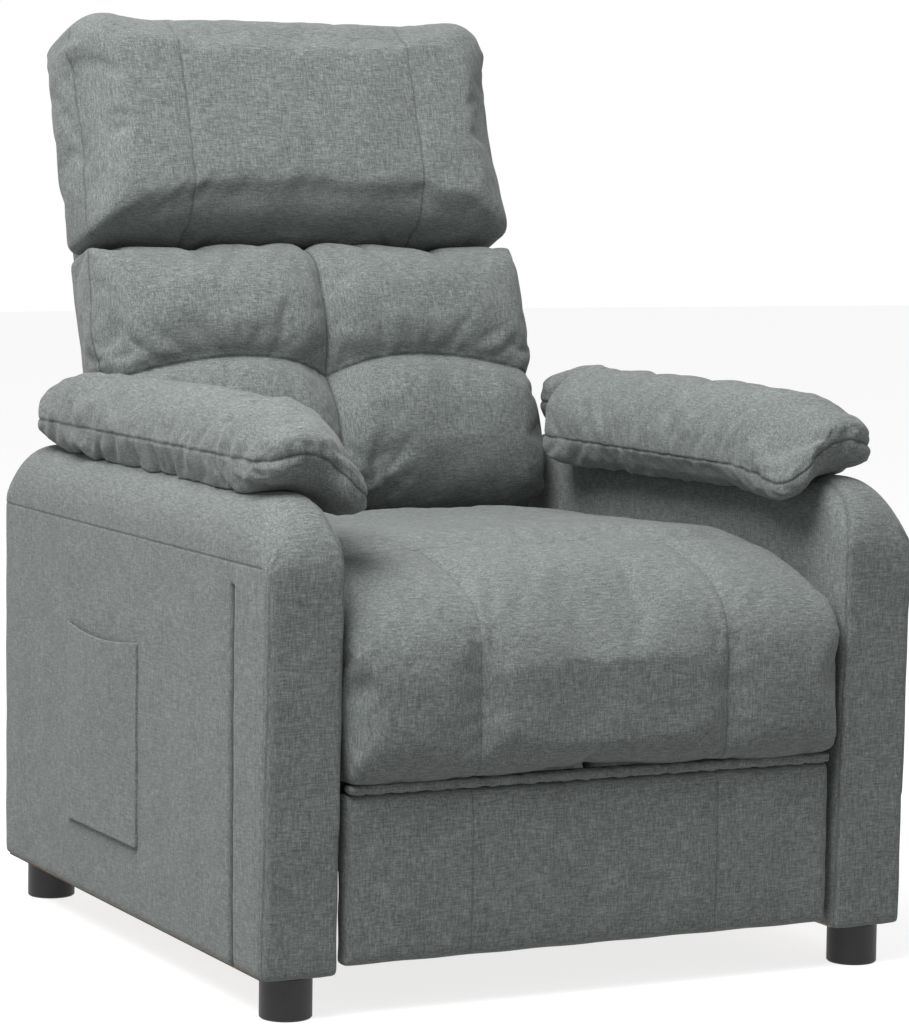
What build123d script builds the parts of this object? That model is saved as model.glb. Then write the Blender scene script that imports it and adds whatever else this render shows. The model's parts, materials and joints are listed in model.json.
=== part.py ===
from build123d import *
import os
from math import atan2, cos, degrees, radians, sin

# A push-back recliner armchair, in millimetres.
# While it is built, X runs to the sitter's left, Y runs backwards from the front of the arms and
# Z up from the floor. Each node is moved so that the origin is under the middle of the chair.

# Overall sizes
WIDTH = 740.0
ARM_WIDTH = 85.0
ARM_DEPTH = 742.0
ARM_TOP = 516.0
FOOT_HEIGHT = 42.0
BACK_HEIGHT = 1020.0
FRONT_TO_MIDDLE = 468.5

# Arms
ARM_FRONT_LEAN = 12.0
ARM_FRONT_CORNER = 75.0
ARM_REAR_CORNER = 45.0
ARM_OUTER_SHOULDER = 52.0
ARM_INNER_SHOULDER = 30.0
COVER = 6.0
FACING_DEPTH = 14.0
INNER_PANEL = 12.0
OUTER_PANEL = 4.0
ARM_TIMBER = 45.0
ARM_TIMBER_HEIGHT = 60.0
ARM_TOP_PADDING = 34.0
FRAME_CLEARANCE = 2.0

# Arm pillows
PILLOW_FRONT = 32.0
PILLOW_REAR = 703.0
PILLOW_HEIGHT = 92.0
PILLOW_OUTER_INSET = 22.0
PILLOW_OVERHANG = 58.0
PILLOW_DROOP = 33.0
PILLOW_ROUND = 22.0
PILLOW_GAP = 3.0
PILLOW_STEP = 8.0
PILLOW_LIFT = 0.5
PILLOW_OUTER_SLOPE = 30.0
PILLOW_INNER_SLOPE = (40.0, 55.0)

# Side pocket, on the sitter's right arm
POCKET_FRONT = 321.0
POCKET_LENGTH = 201.0
POCKET_LIFT = 79.0
POCKET_HEIGHT = 217.0
POCKET_GAP = 5.5
POCKET_CLOTH = 2.0

# Feet
FOOT_RADIUS = 26.5
FOOT_SIDE_INSET = 41.0
FOOT_FRONT_INSET = 30.0
FOOT_REAR_INSET = 50.0
FOOT_EDGE = 1.5
FOOT_STUD_RADIUS = 4.0
FOOT_STUD_DEPTH = 22.0

# Steel mechanism: flat plates in layers, counted inwards from the arm
PLATE = 3.0
LAYER_GAP = 3.0
LINK_HALF_WIDTH = 11.0
PIN_RADIUS = 5.0
PIN_HEAD_RADIUS = 8.0
PIN_HEAD = 2.0
RUNNING_CLEARANCE = 0.08
OPEN_CLEARANCE = 0.4
SIDE_PLAY = 0.4
RAIL_LAYER, SWING_LAYER, SEAT_LAYER, CRANK_LAYER, REACH_LAYER, FOOTREST_LAYER = range(6)

# Base rails and cross tubes
RAIL_LIFT = 18.0
RAIL_HEIGHT = 46.0
RAIL_FLANGE = 20.0
RAIL_END = 40.0
CROSS_TUBE = 25.0
CROSS_TUBE_WALL = 2.0
FRONT_TUBE_Y = 395.0
REAR_TUBE_Y = 640.0
RAIL_BOLT_RADIUS = 3.0
RAIL_BOLT_HEAD_RADIUS = 6.0
RAIL_BOLT_Y = (330.0, 440.0, 610.0)

# Seat swing: two pairs of links of the same length
SWING_LENGTH = 120.0
SWING_LEAN = 28.0
SWING_PIN_LIFT = 38.0
SWING_FRONT_Y = 210.0
SWING_REAR_Y = 520.0

# Footrest linkage: two parallelograms in a row, seen from the side
CRANK_PIN = (62.0, 194.0)
CRANK_REACH = (95.0, -118.0)
CRANK_SPACING = (43.0, -9.2)
REACH_OFFSET = (-111.0, 104.0)
REACH_SPACING = (4.2, -39.8)
TORQUE_BAR_RADIUS = 6.0
TORQUE_BAR_PLACE = (31.0, -26.0)
TORQUE_BAR_EAR = 6.5

# Footrest
FOOTREST_BOTTOM = 8.0
FOOTREST_HEIGHT = 171.0
FOOTREST_SIDE_GAP = 6.0
FOOTREST_PAD = 9.0
FOOTREST_EDGE = 10.0
FOOTREST_ROUND = 7.0
BOARD = 13.0
TOP_ROLL_HEIGHT = 10.0
TOP_ROLL_DEPTH = 18.0
TOP_ROLL_AHEAD = 4.0
TOP_ROLL_SIDE_GAP = 3.0
BRACKET_FLANGE = 25.0
BRACKET_MARGIN = 18.0
BOARD_SCREW_COVER = 3.0

# Seat
SEAT_SIDE_GAP = 6.0
SEAT_RAIL_LIFT = 216.0
SEAT_RAIL_HEIGHT = 42.0
SEAT_RAIL = 22.0
SEAT_RAIL_FRONT = 47.0
SEAT_FRAME_REAR = 600.0
DECK_LIFT = 4.0
DECK = 8.0
SEAT_CREST = 416.0
SEAT_CREST_Y = 75.0
SEAT_FALL = 10.0
SEAT_FALL_Y = 160.0
SEAT_REAR_TOP = 394.0
SEAT_REAR = 604.0
SEAT_REAR_EDGE = (12.0, 14.0)
SEAT_BULGE = 22.0
SEAT_SIDE_ROUND = 14.0
ROLL_BOTTOM = 191.5
ROLL_BOTTOM_Y = 5.0
ROLL_BULGE_RISE = 105.0
ROLL_TUCK_RISE = 25.0
SPRING_COUNT = 5
SPRING_WIRE = 1.8
SPRING_SWING = 22.0
SPRING_STEP = 24.0
SPRING_BEND = 8.0
PLATE_FRONT_MARGIN = 13.0
PLATE_BOTTOM_MARGIN = 14.0
PLATE_TOP_MARGIN = 10.0
PLATE_STEP_AHEAD = 60.0
PLATE_STEP_RUN = 30.0
PLATE_FRONT_SLOPE = 15.0
PLATE_REAR_SLOPE = 75.0
PLATE_CORNER = 6.0
SEAT_SCREW_MARGIN = 60.0
SEAT_SCREW_SHARES = (0.0, 0.34, 0.67, 1.0)

# Back: U runs up the lean, W runs backwards from the front seam
BACK_LEAN = 19.0
BACK_FOOT = (620.0, 398.0)
BACK_PIVOT = (655.0, 173.0)
BACK_SIDE_GAP = 8.0
BACK_THICKNESS = 163.0
BACK_BOTTOM = -172.0
BACK_SKIRT = 100.0
BACK_SKIRT_INSET = 5.0
BACK_TOP_ROUND = 50.0
BACK_COVER_INSET = 37.0
BACK_COVER_ROUND = 30.0
BACK_COVER_TOP_ROUND = 40.0
BACK_COVER_TOP_DROP = 4.0
CUSHION_DEPTH = 95.0
CUSHION_REAR_ROUND = 26.0
CUSHION_CROWN = 38.0
HEADREST_BOTTOM = 328.0
HEADREST_LOW_ROUND = 30.0
LUMBAR_HIGH_ROUND = 30.0
LUMBAR_LOW_ROUND = 35.0
LUMBAR_TOP = 323.0
LUMBAR_BOTTOM = 8.0
LUMBAR_TUCK = 45.0
LUMBAR_TAIL = -110.0
POST_WIDTH = 24.0
POST_DEPTH = 50.0
POST_TOP_MARGIN = 35.0
POST_SIDE_INSET = 14.0
SHOE_TOP = -25.0
SHOE_CLEARANCE = 5.0
BACK_RAIL = 40.0
BACK_LAYER_GAP = 1.0
BRACKET_SCREW_RISES = (40.0, 80.0, 120.0)
BRACKET_RISES = (20.0, 130.0)
WEBBING = 2.0
WEBBING_END_MARGIN = 2.0
WEBBING_WIDTH = 50.0
WEBBING_COUNT = 5
SCREW_RADIUS = 2.5
SCREW_HEAD_RADIUS = 4.5
SCREW_HEAD = 1.6
SCREW_LENGTH = 14.0

ARM_INNER = WIDTH / 2 - ARM_WIDTH
SEAT_HALF = ARM_INNER - SEAT_SIDE_GAP
BACK_HALF = ARM_INNER - BACK_SIDE_GAP
BACK_COVER_HALF = BACK_HALF - BACK_COVER_INSET
SWING_FRONT = (SWING_FRONT_Y, FOOT_HEIGHT + SWING_PIN_LIFT)
SWING_REAR = (SWING_REAR_Y, FOOT_HEIGHT + SWING_PIN_LIFT)


def shifted(point, step):
    """A side-view point moved by a side-view step."""
    return (point[0] + step[0], point[1] + step[1])


def lifted(point):
    """A side-view point given above the underside of the arms."""
    return (point[0], point[1] + FOOT_HEIGHT)


SWING_STEP = (SWING_LENGTH * sin(radians(SWING_LEAN)), SWING_LENGTH * cos(radians(SWING_LEAN)))
SWING_FRONT_TOP = shifted(SWING_FRONT, SWING_STEP)
SWING_REAR_TOP = shifted(SWING_REAR, SWING_STEP)
FRONT_CRANK = lifted(CRANK_PIN)
FRONT_KNEE = shifted(FRONT_CRANK, CRANK_REACH)
REAR_CRANK = shifted(FRONT_CRANK, CRANK_SPACING)
REAR_KNEE = shifted(FRONT_KNEE, CRANK_SPACING)
LOWER_KNEE = shifted(FRONT_KNEE, REACH_SPACING)
UPPER_TIP = shifted(FRONT_KNEE, REACH_OFFSET)
LOWER_TIP = shifted(UPPER_TIP, REACH_SPACING)
TORQUE_BAR = shifted(FRONT_CRANK, TORQUE_BAR_PLACE)
BACK_HINGE = lifted(BACK_PIVOT)
BACK_ORIGIN = lifted(BACK_FOOT)
BOARD_REAR = FOOTREST_PAD + BOARD
SEAT_RAIL_Z = FOOT_HEIGHT + SEAT_RAIL_LIFT
SEAT_RAIL_TOP = SEAT_RAIL_Z + SEAT_RAIL_HEIGHT
DECK_Z = SEAT_RAIL_TOP + DECK_LIFT


def layer(index):
    """The inner and outer |x| of one layer of the mechanism."""
    outer = ARM_INNER - index * (PLATE + LAYER_GAP)
    return outer - PLATE, outer


def box(x0, x1, y0, y1, z0, z1):
    """A box between two corners."""
    return Pos((x0 + x1) / 2, (y0 + y1) / 2, (z0 + z1) / 2) * Box(x1 - x0, y1 - y0, z1 - z0)


def across(face, x0, x1):
    """A side-view face, drawn as (Y, Z), made solid between two X planes."""
    return extrude(Plane.YZ.offset(x0) * face, amount=x1 - x0)


def rod(point, x0, x1, radius):
    """A round bar along X through a side-view point."""
    return across(Pos(*point) * Circle(radius), x0, x1)


def pair(part):
    """A piece on the sitter's left with its mirror image on the right."""
    return Compound([part, mirror(part, about=Plane.YZ)])


def right_of(part):
    """The mirror image of a piece on the sitter's left."""
    return mirror(part, about=Plane.YZ)


def bar(points, half_width):
    """A flat link's outline: round ends on straight bars from each point to the next."""
    outline = Sketch() + [Pos(*point) * Circle(half_width) for point in points]
    for start, end in zip(points, points[1:]):
        run = Vector(*end) - Vector(*start)
        middle = (Vector(*start) + Vector(*end)) * 0.5
        turn = degrees(atan2(run.Y, run.X))
        outline += Pos(middle.X, middle.Y) * Rot(0, 0, turn) * Rectangle(run.length, 2 * half_width)
    return outline


def rounded(face, corner, radius):
    """A face with its corner nearest a point rounded."""
    return fillet(face.vertices().sort_by_distance(Vertex(*corner, 0))[0], radius)


def punched(face, holes):
    """A side-view face less round holes, each a point and a radius."""
    for point, radius in holes:
        face -= Pos(*point) * Circle(radius)
    return face


def link(points, holes, index):
    """A steel link in one layer with its holes."""
    return across(punched(bar(points, LINK_HALF_WIDTH), holes), *layer(index))


def pin(point, held, free):
    """A shouldered pin riveted into one layer, with a head past the free link in the next layer."""
    held_in, held_out = layer(held)
    free_in, free_out = layer(free)
    if free > held:
        shaft = rod(point, free_in - SIDE_PLAY - PIN_HEAD, held_out, PIN_RADIUS)
        shoulder = rod(point, free_out + SIDE_PLAY, held_in, PIN_HEAD_RADIUS)
        head = rod(point, free_in - SIDE_PLAY - PIN_HEAD, free_in - SIDE_PLAY, PIN_HEAD_RADIUS)
    else:
        shaft = rod(point, held_in, free_out + SIDE_PLAY + PIN_HEAD, PIN_RADIUS)
        shoulder = rod(point, held_out, free_in - SIDE_PLAY, PIN_HEAD_RADIUS)
        head = rod(point, free_out + SIDE_PLAY, free_out + SIDE_PLAY + PIN_HEAD, PIN_HEAD_RADIUS)
    return shaft + shoulder + head


def pins(places):
    """Pins on both sides of the chair, each given as a point, its layer and the free layer."""
    made = [pin(point, held, free) for point, held, free in places]
    return Compound(made + [right_of(one) for one in made])


RUNNING_HOLE = PIN_RADIUS + RUNNING_CLEARANCE
OPEN_HOLE = PIN_RADIUS + OPEN_CLEARANCE


# Arms


def arm_side_face(inset):
    """The arm's side outline, drawn a given distance inside its surface and open at the floor end."""
    bottom = FOOT_HEIGHT if inset == 0 else FOOT_HEIGHT - COVER
    top = ARM_TOP - inset
    front_low = inset - ARM_FRONT_LEAN / 4
    front_high = inset - ARM_FRONT_LEAN
    rear = ARM_DEPTH - inset
    outline = Polyline((front_low, bottom), (front_high, top), (rear, top), (rear, bottom), close=True)
    face = make_face(outline)
    face = rounded(face, (front_high, top), ARM_FRONT_CORNER - inset)
    return rounded(face, (rear, top), ARM_REAR_CORNER - inset)


def arm_section(inset):
    """The arm's section, drawn as (X, Z), a given distance inside its surface."""
    bottom = FOOT_HEIGHT if inset == 0 else FOOT_HEIGHT - COVER
    x0 = ARM_INNER + inset
    x1 = WIDTH / 2 - inset
    top = ARM_TOP - inset
    face = make_face(Polyline((x0, bottom), (x1, bottom), (x1, top), (x0, top), close=True))
    face = rounded(face, (x0, top), ARM_INNER_SHOULDER - inset)
    return rounded(face, (x1, top), ARM_OUTER_SHOULDER - inset)


def arm_form(inset):
    """The left arm as one solid, a given distance inside its surface."""
    side = across(arm_side_face(inset), ARM_INNER + inset, WIDTH / 2 - inset)
    length = ARM_DEPTH + 2 * ARM_FRONT_LEAN
    section = extrude(Plane.XZ.offset(-ARM_DEPTH) * arm_section(inset), amount=length)
    return side & section


def rail_bolts():
    """The shafts of the left base rail's bolts."""
    rail_in = layer(RAIL_LAYER)[0]
    z = FOOT_HEIGHT + RAIL_LIFT + RAIL_HEIGHT / 2
    tip = ARM_INNER + COVER + INNER_PANEL + SCREW_LENGTH
    return [rod((y, z), rail_in, tip, RAIL_BOLT_RADIUS) for y in RAIL_BOLT_Y]


def bolt_heads():
    """Low heads on the left base rail's bolts."""
    rail_in = layer(RAIL_LAYER)[0]
    z = FOOT_HEIGHT + RAIL_LIFT + RAIL_HEIGHT / 2
    return [rod((y, z), rail_in - PIN_HEAD, rail_in, RAIL_BOLT_HEAD_RADIUS) for y in RAIL_BOLT_Y]


def arm_shell():
    """The left arm's padded cover, open underneath, before it is parted from its front facing."""
    shell = arm_form(0) - arm_form(COVER)
    for hole in rail_bolts():
        shell -= hole
    return shell


def facing_block():
    """Everything in front of the seam between arm cover and front facing."""
    return box(0, WIDTH, -2 * ARM_FRONT_LEAN, FACING_DEPTH, 0, ARM_TOP + 1)


def frame_x():
    """The |x| between which the arm's timber lies."""
    inner = ARM_INNER + COVER + INNER_PANEL
    return inner, inner + ARM_TIMBER


def arm_frame():
    """The left arm's timber: bottom rail, top rail and two posts."""
    x0, x1 = frame_x()
    front = FACING_DEPTH
    rear = ARM_DEPTH - COVER - FRAME_CLEARANCE
    top = ARM_TOP - ARM_TOP_PADDING
    low = FOOT_HEIGHT + ARM_TIMBER_HEIGHT
    bottom_rail = box(x0, x1, front, rear, FOOT_HEIGHT, low)
    for y in foot_y():
        bottom_rail -= Pos(foot_x(), y, 0) * stud()
    for hole in rail_bolts():
        bottom_rail -= hole
    inset = ARM_FRONT_CORNER / 2
    top_rail = box(x0, x1, inset, rear - ARM_REAR_CORNER / 2, top - ARM_TIMBER, top)
    front_post = box(x0, x1, front, front + ARM_TIMBER, low, top - ARM_TIMBER)
    rear_post = box(x0, x1, rear - ARM_TIMBER, rear, low, top - ARM_TIMBER)
    return Compound([bottom_rail, top_rail, front_post, rear_post])


def arm_panel(x0, thickness, holes):
    """A thin board that closes one side of the arm's timber."""
    rear = ARM_DEPTH - COVER - FRAME_CLEARANCE
    panel = box(x0, x0 + thickness, FACING_DEPTH, rear, FOOT_HEIGHT, ARM_TOP - 2 * ARM_TOP_PADDING)
    for hole in holes:
        panel -= hole
    return panel


def arm_pillow():
    """The left arm's loose pillow: it lies on the arm and hangs over its inner edge."""
    outer = WIDTH / 2 - PILLOW_OUTER_INSET
    inner = ARM_INNER - PILLOW_OVERHANG
    beside = ARM_INNER - PILLOW_GAP
    rest = ARM_TOP + PILLOW_LIFT
    low = ARM_TOP - PILLOW_DROOP
    top = ARM_TOP + PILLOW_HEIGHT
    slope = PILLOW_OUTER_SLOPE
    run, fall = PILLOW_INNER_SLOPE
    outline = Polyline(
        (outer, rest), (outer, top - slope), (outer - slope, top), (inner + run, top),
        (inner, top - fall), (inner, low), (beside, low), (beside, rest), close=True,
    )
    section = make_face(outline)
    inner_corner = section.vertices().sort_by_distance(Vertex(beside, rest, 0))[0]
    section = fillet(section.vertices() - ShapeList([inner_corner]), PILLOW_ROUND / 2)
    end = min(PILLOW_REAR, ARM_DEPTH - ARM_REAR_CORNER / 2)
    pillow = extrude(Plane.XZ.offset(-end) * section, amount=end - PILLOW_FRONT)
    pillow -= box(0, ARM_INNER + PILLOW_GAP, SEAT_REAR - PILLOW_STEP, ARM_DEPTH + 1, 0, top + 1)
    front = pillow.edges().filter_by_position(Axis.Y, PILLOW_FRONT - 1, PILLOW_FRONT + 1)
    return fillet(front, PILLOW_ROUND / 3)


def side_pocket():
    """A cloth pocket on the outside of the sitter's right arm, open at the top."""
    face = -WIDTH / 2
    out = face - POCKET_GAP - POCKET_CLOTH
    y0 = POCKET_FRONT
    y1 = POCKET_FRONT + POCKET_LENGTH
    z0 = FOOT_HEIGHT + POCKET_LIFT
    z1 = z0 + POCKET_HEIGHT
    pouch = box(out, face, y0, y1, z0, z1)
    inside = box(
        out + POCKET_CLOTH, face + 1, y0 + POCKET_CLOTH, y1 - POCKET_CLOTH, z0 + POCKET_CLOTH, z1 + 1
    )
    return pouch - inside


# Feet


def foot_x():
    """The feet's distance from the middle of the chair."""
    return WIDTH / 2 - FOOT_SIDE_INSET


def foot_y():
    """The front and rear feet's distances from the front of the arms."""
    return FOOT_FRONT_INSET, ARM_DEPTH - FOOT_REAR_INSET


def stud():
    """A foot's screwed stud, upright on the origin."""
    height = 2 * FOOT_STUD_DEPTH
    return Pos(0, 0, FOOT_HEIGHT) * Cylinder(FOOT_STUD_RADIUS, height)


def foot():
    """A plain round foot on the origin, with a soft lower edge."""
    body = Cylinder(FOOT_RADIUS, FOOT_HEIGHT, align=(Align.CENTER, Align.CENTER, Align.MIN))
    body = chamfer(body.edges().group_by(Axis.Z)[0], FOOT_EDGE)
    return body - stud()


# Base


def base_rail():
    """The left side rail: a steel angle bolted inside the arm, with its flange turned inwards."""
    x_in, x_out = layer(RAIL_LAYER)
    front = SWING_FRONT_Y - RAIL_END
    rear = REAR_TUBE_Y + CROSS_TUBE + RAIL_END / 2
    z0 = FOOT_HEIGHT + RAIL_LIFT
    rail = box(x_in, x_out, front, rear, z0, z0 + RAIL_HEIGHT)
    rail += box(x_out - RAIL_FLANGE, x_out, front, rear, z0, z0 + PLATE)
    for point in (SWING_FRONT, SWING_REAR):
        rail -= rod(point, 0, x_out, PIN_RADIUS)
    for hole in rail_bolts():
        rail -= hole
    return rail


def cross_tube(y):
    """A square tube that joins the two side rails."""
    half = layer(RAIL_LAYER)[0]
    z0 = FOOT_HEIGHT + RAIL_LIFT + PLATE
    outer = box(-half, half, y, y + CROSS_TUBE, z0, z0 + CROSS_TUBE)
    wall = CROSS_TUBE_WALL
    bore = CROSS_TUBE - wall
    return outer - box(-half - 1, half + 1, y + wall, y + bore, z0 + wall, z0 + bore)


# Seat


def seat_plate():
    """The left seat plate: the steel side that carries the swing, the footrest and the back."""
    front = FRONT_CRANK[0] - PLATE_FRONT_MARGIN
    low_front = REAR_CRANK[1] - PLATE_BOTTOM_MARGIN
    low = SWING_FRONT_TOP[1] - PLATE_BOTTOM_MARGIN
    top = SEAT_RAIL_TOP - PLATE_TOP_MARGIN
    rear = BACK_HINGE[0] + PLATE_BOTTOM_MARGIN
    step = SWING_FRONT_TOP[0] - PLATE_STEP_AHEAD
    hinge_top = BACK_HINGE[1] + PLATE_BOTTOM_MARGIN
    outline = Polyline(
        (front, low_front), (step, low_front), (step + PLATE_STEP_RUN, low), (rear, low),
        (rear, hinge_top), (rear - PLATE_REAR_SLOPE, top), (front + PLATE_FRONT_SLOPE, top),
        (front, FRONT_CRANK[1] + PLATE_BOTTOM_MARGIN), close=True,
    )
    holes = [(point, PIN_RADIUS) for point in (FRONT_CRANK, REAR_CRANK, SWING_FRONT_TOP, BACK_HINGE)]
    holes += [(SWING_REAR_TOP, PIN_RADIUS)]
    holes += [(point, SCREW_RADIUS) for point in seat_screw_places()]
    face = fillet(make_face(outline).vertices(), PLATE_CORNER)
    return across(punched(face, holes), *layer(SEAT_LAYER))


def seat_screw_places():
    """Where the seat plate is screwed to the timber side rail."""
    start = SEAT_RAIL_FRONT + SEAT_SCREW_MARGIN
    span = SEAT_FRAME_REAR - SEAT_SCREW_MARGIN - start
    z = SEAT_RAIL_Z + SEAT_RAIL_HEIGHT / 2
    return [(start + span * share, z) for share in SEAT_SCREW_SHARES]


def seat_screws():
    """The screws of the left seat plate."""
    x_in, x_out = layer(SEAT_LAYER)
    made = []
    for place in seat_screw_places():
        shaft = rod(place, x_in - SCREW_LENGTH, x_out, SCREW_RADIUS)
        made.append(shaft + rod(place, x_out, x_out + SCREW_HEAD, SCREW_HEAD_RADIUS))
    return made


def rail_x():
    """The |x| between which the seat's timber side rail lies."""
    outer = layer(SEAT_LAYER)[0]
    return outer - SEAT_RAIL, outer


def seat_side_rail():
    """The left timber side rail."""
    x0, x1 = rail_x()
    rail = box(x0, x1, SEAT_RAIL_FRONT, SEAT_FRAME_REAR, SEAT_RAIL_Z, SEAT_RAIL_TOP)
    for place in seat_screw_places():
        rail -= rod(place, x1 - SCREW_LENGTH, x1 + 1, SCREW_RADIUS)
    return rail


def seat_cross_rail(y):
    """A timber rail between the two side rails."""
    half = rail_x()[0]
    return box(-half, half, y, y + SEAT_RAIL, SEAT_RAIL_Z, SEAT_RAIL_TOP)


def seat_springs():
    """Zigzag springs that run from the front rail to the rear rail."""
    y0 = SEAT_RAIL_FRONT + SEAT_RAIL / 2
    y1 = SEAT_FRAME_REAR - SEAT_RAIL / 2
    turns = int((y1 - y0) / SPRING_STEP)
    step = (y1 - y0) / turns
    points = [(SPRING_SWING * (-1) ** turn, y0 + turn * step) for turn in range(turns + 1)]
    path = FilletPolyline(*points, radius=SPRING_BEND)
    start = Plane(path @ 0, z_dir=path % 0)
    wire = sweep(start * Circle(SPRING_WIRE), path=path)
    pitch = 2 * rail_x()[0] / SPRING_COUNT
    z = SEAT_RAIL_TOP + SPRING_WIRE
    places = [pitch * (number - (SPRING_COUNT - 1) / 2) for number in range(SPRING_COUNT)]
    return Compound([Pos(x, 0, z) * wire for x in places])


def seat_deck():
    """The felt deck over the springs."""
    half = rail_x()[1]
    return box(-half, half, SEAT_RAIL_FRONT, SEAT_FRAME_REAR, DECK_Z, DECK_Z + DECK)


def seat_cushion():
    """The seat cushion with its rounded front, which hangs down over the seat's front rail."""
    z = FOOT_HEIGHT
    under = DECK_Z + DECK
    bottom = (ROLL_BOTTOM_Y, z + ROLL_BOTTOM)
    bulge = (-SEAT_BULGE, bottom[1] + ROLL_BULGE_RISE)
    crest = (SEAT_CREST_Y, z + SEAT_CREST)
    fall = (SEAT_FALL_Y, crest[1] - SEAT_FALL)
    rear_inset, rear_drop = SEAT_REAR_EDGE
    rear_top = (SEAT_REAR - rear_inset, z + SEAT_REAR_TOP)
    tuck = (SEAT_RAIL_FRONT - 1, bottom[1] + ROLL_TUCK_RISE)
    underside = Spline(tuck, bottom, tangents=((-1, -0.7), (-1, 0)))
    lower_front = Spline(bottom, bulge, tangents=((-1, 0), (0, 1)))
    upper_front = Spline(bulge, crest, tangents=((0, 1), (1, 0)))
    upper = Spline(crest, fall, rear_top, tangents=((1, 0), (1, -0.03)))
    rear = [(SEAT_REAR, rear_top[1] - rear_drop), (SEAT_REAR, under)]
    rest = Polyline(rear_top, *rear, (tuck[0], under), tuck)
    profile = make_face([underside, lower_front, upper_front, upper, rest])
    cushion = across(profile, -SEAT_HALF, SEAT_HALF)
    sides = cushion.faces().filter_by(Axis.X).edges().filter_by(GeomType.BSPLINE)
    low = tuck[1]
    front_edges = [edge for edge in sides if edge.center().Y < SEAT_CREST_Y and edge.center().Z > low]
    return fillet(front_edges, SEAT_SIDE_ROUND)


# Back


def back_point(u, w):
    """A side-view point given up the back's lean and backwards from its front seam."""
    lean = radians(BACK_LEAN)
    y = BACK_ORIGIN[0] + u * sin(lean) + w * cos(lean)
    return (y, BACK_ORIGIN[1] + u * cos(lean) - w * sin(lean))


def back_block(x0, x1, u0, u1, w0, w1):
    """A block square to the back's lean."""
    corners = [back_point(u0, w0), back_point(u1, w0), back_point(u1, w1), back_point(u0, w1)]
    return across(make_face(Polyline(*corners, close=True)), x0, x1)


def back_top():
    """How far up its lean the back reaches, so that it ends at the chair's full height."""
    lean = radians(BACK_LEAN)
    arc_w = BACK_TOP_ROUND - CUSHION_CROWN
    rise = BACK_HEIGHT - BACK_ORIGIN[1] - BACK_TOP_ROUND + arc_w * sin(lean)
    return rise / cos(lean) + BACK_TOP_ROUND


def post_span():
    """Where the back's posts start and end along the lean."""
    return BACK_BOTTOM, back_top() - POST_TOP_MARGIN


def post_x():
    """The |x| between which a back post lies."""
    outer = BACK_COVER_HALF - POST_SIDE_INSET
    return outer - POST_WIDTH, outer


def post_w():
    """The front of the back's timber, behind the cushions and the webbing."""
    return CUSHION_DEPTH + WEBBING + BACK_LAYER_GAP


def bracket_screw_places():
    """Where a back bracket is screwed to its post."""
    w = post_w() + POST_DEPTH / 2
    return [back_point(BACK_BOTTOM + rise, w) for rise in BRACKET_SCREW_RISES]


def back_post():
    """The left timber post of the back, with a shoe at its foot that reaches out to the bracket."""
    x0, x1 = post_x()
    u0, u1 = post_span()
    w0 = post_w()
    bracket_x = layer(CRANK_LAYER)[0]
    post = back_block(x0, x1, u0, u1, w0, w0 + POST_DEPTH)
    post += back_block(x1, bracket_x, u0, SHOE_TOP, w0, w0 + POST_DEPTH)
    for place in bracket_screw_places():
        post -= rod(place, bracket_x - SCREW_LENGTH, bracket_x + 1, SCREW_RADIUS)
    return post


def back_rail(u0):
    """A timber rail between the back's posts."""
    half = post_x()[0]
    w0 = post_w()
    return back_block(-half, half, u0, u0 + BACK_RAIL, w0, w0 + POST_DEPTH)


def back_webbing():
    """Elastic straps across the front of the back's posts."""
    u0, u1 = post_span()
    pitch = (u1 - u0 - WEBBING_WIDTH) / (WEBBING_COUNT - 1)
    half = post_x()[1] - WEBBING_END_MARGIN
    starts = [u0 + number * pitch for number in range(WEBBING_COUNT)]
    w1 = post_w()
    return Compound([back_block(-half, half, u, u + WEBBING_WIDTH, w1 - WEBBING, w1) for u in starts])


def back_bracket():
    """The left steel bracket that hinges the back on the seat plate."""
    along_post = [back_point(BACK_BOTTOM + rise, post_w() + POST_DEPTH / 2) for rise in BRACKET_RISES]
    holes = [(BACK_HINGE, RUNNING_HOLE)]
    holes += [(place, SCREW_RADIUS) for place in bracket_screw_places()]
    return link([BACK_HINGE, *along_post], holes, CRANK_LAYER)


def back_bracket_screws():
    """The screws of the left back bracket."""
    x_in, x_out = layer(CRANK_LAYER)
    made = []
    for place in bracket_screw_places():
        shaft = rod(place, x_in - SCREW_LENGTH, x_out, SCREW_RADIUS)
        made.append(shaft + rod(place, x_out, x_out + SCREW_HEAD, SCREW_HEAD_RADIUS))
    return made


def cushion_face(u0, u1, low_round, high_round):
    """A back cushion's side outline with a crowned front and its own corner rounds."""
    points = [
        back_point(u0, CUSHION_DEPTH), back_point(u0, -CUSHION_CROWN),
        back_point(u1, -CUSHION_CROWN), back_point(u1, CUSHION_DEPTH),
    ]
    face = make_face(Polyline(*points, close=True))
    face = rounded(face, points[1], low_round)
    return rounded(face, points[2], high_round)


def rounded_rear(cushion, u):
    """A back cushion with its two rear side edges rounded; u is the middle of their length."""
    place = back_point(u, CUSHION_DEPTH)
    edges = [cushion.edges().sort_by_distance(Vertex(x, *place))[0] for x in (-BACK_HALF, BACK_HALF)]
    return fillet(edges, CUSHION_REAR_ROUND)


def headrest_cushion():
    """The headrest: the upper cushion of the back."""
    face = cushion_face(HEADREST_BOTTOM, back_top(), HEADREST_LOW_ROUND, BACK_TOP_ROUND)
    return rounded_rear(across(face, -BACK_HALF, BACK_HALF), (HEADREST_BOTTOM + back_top()) / 2)


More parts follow.
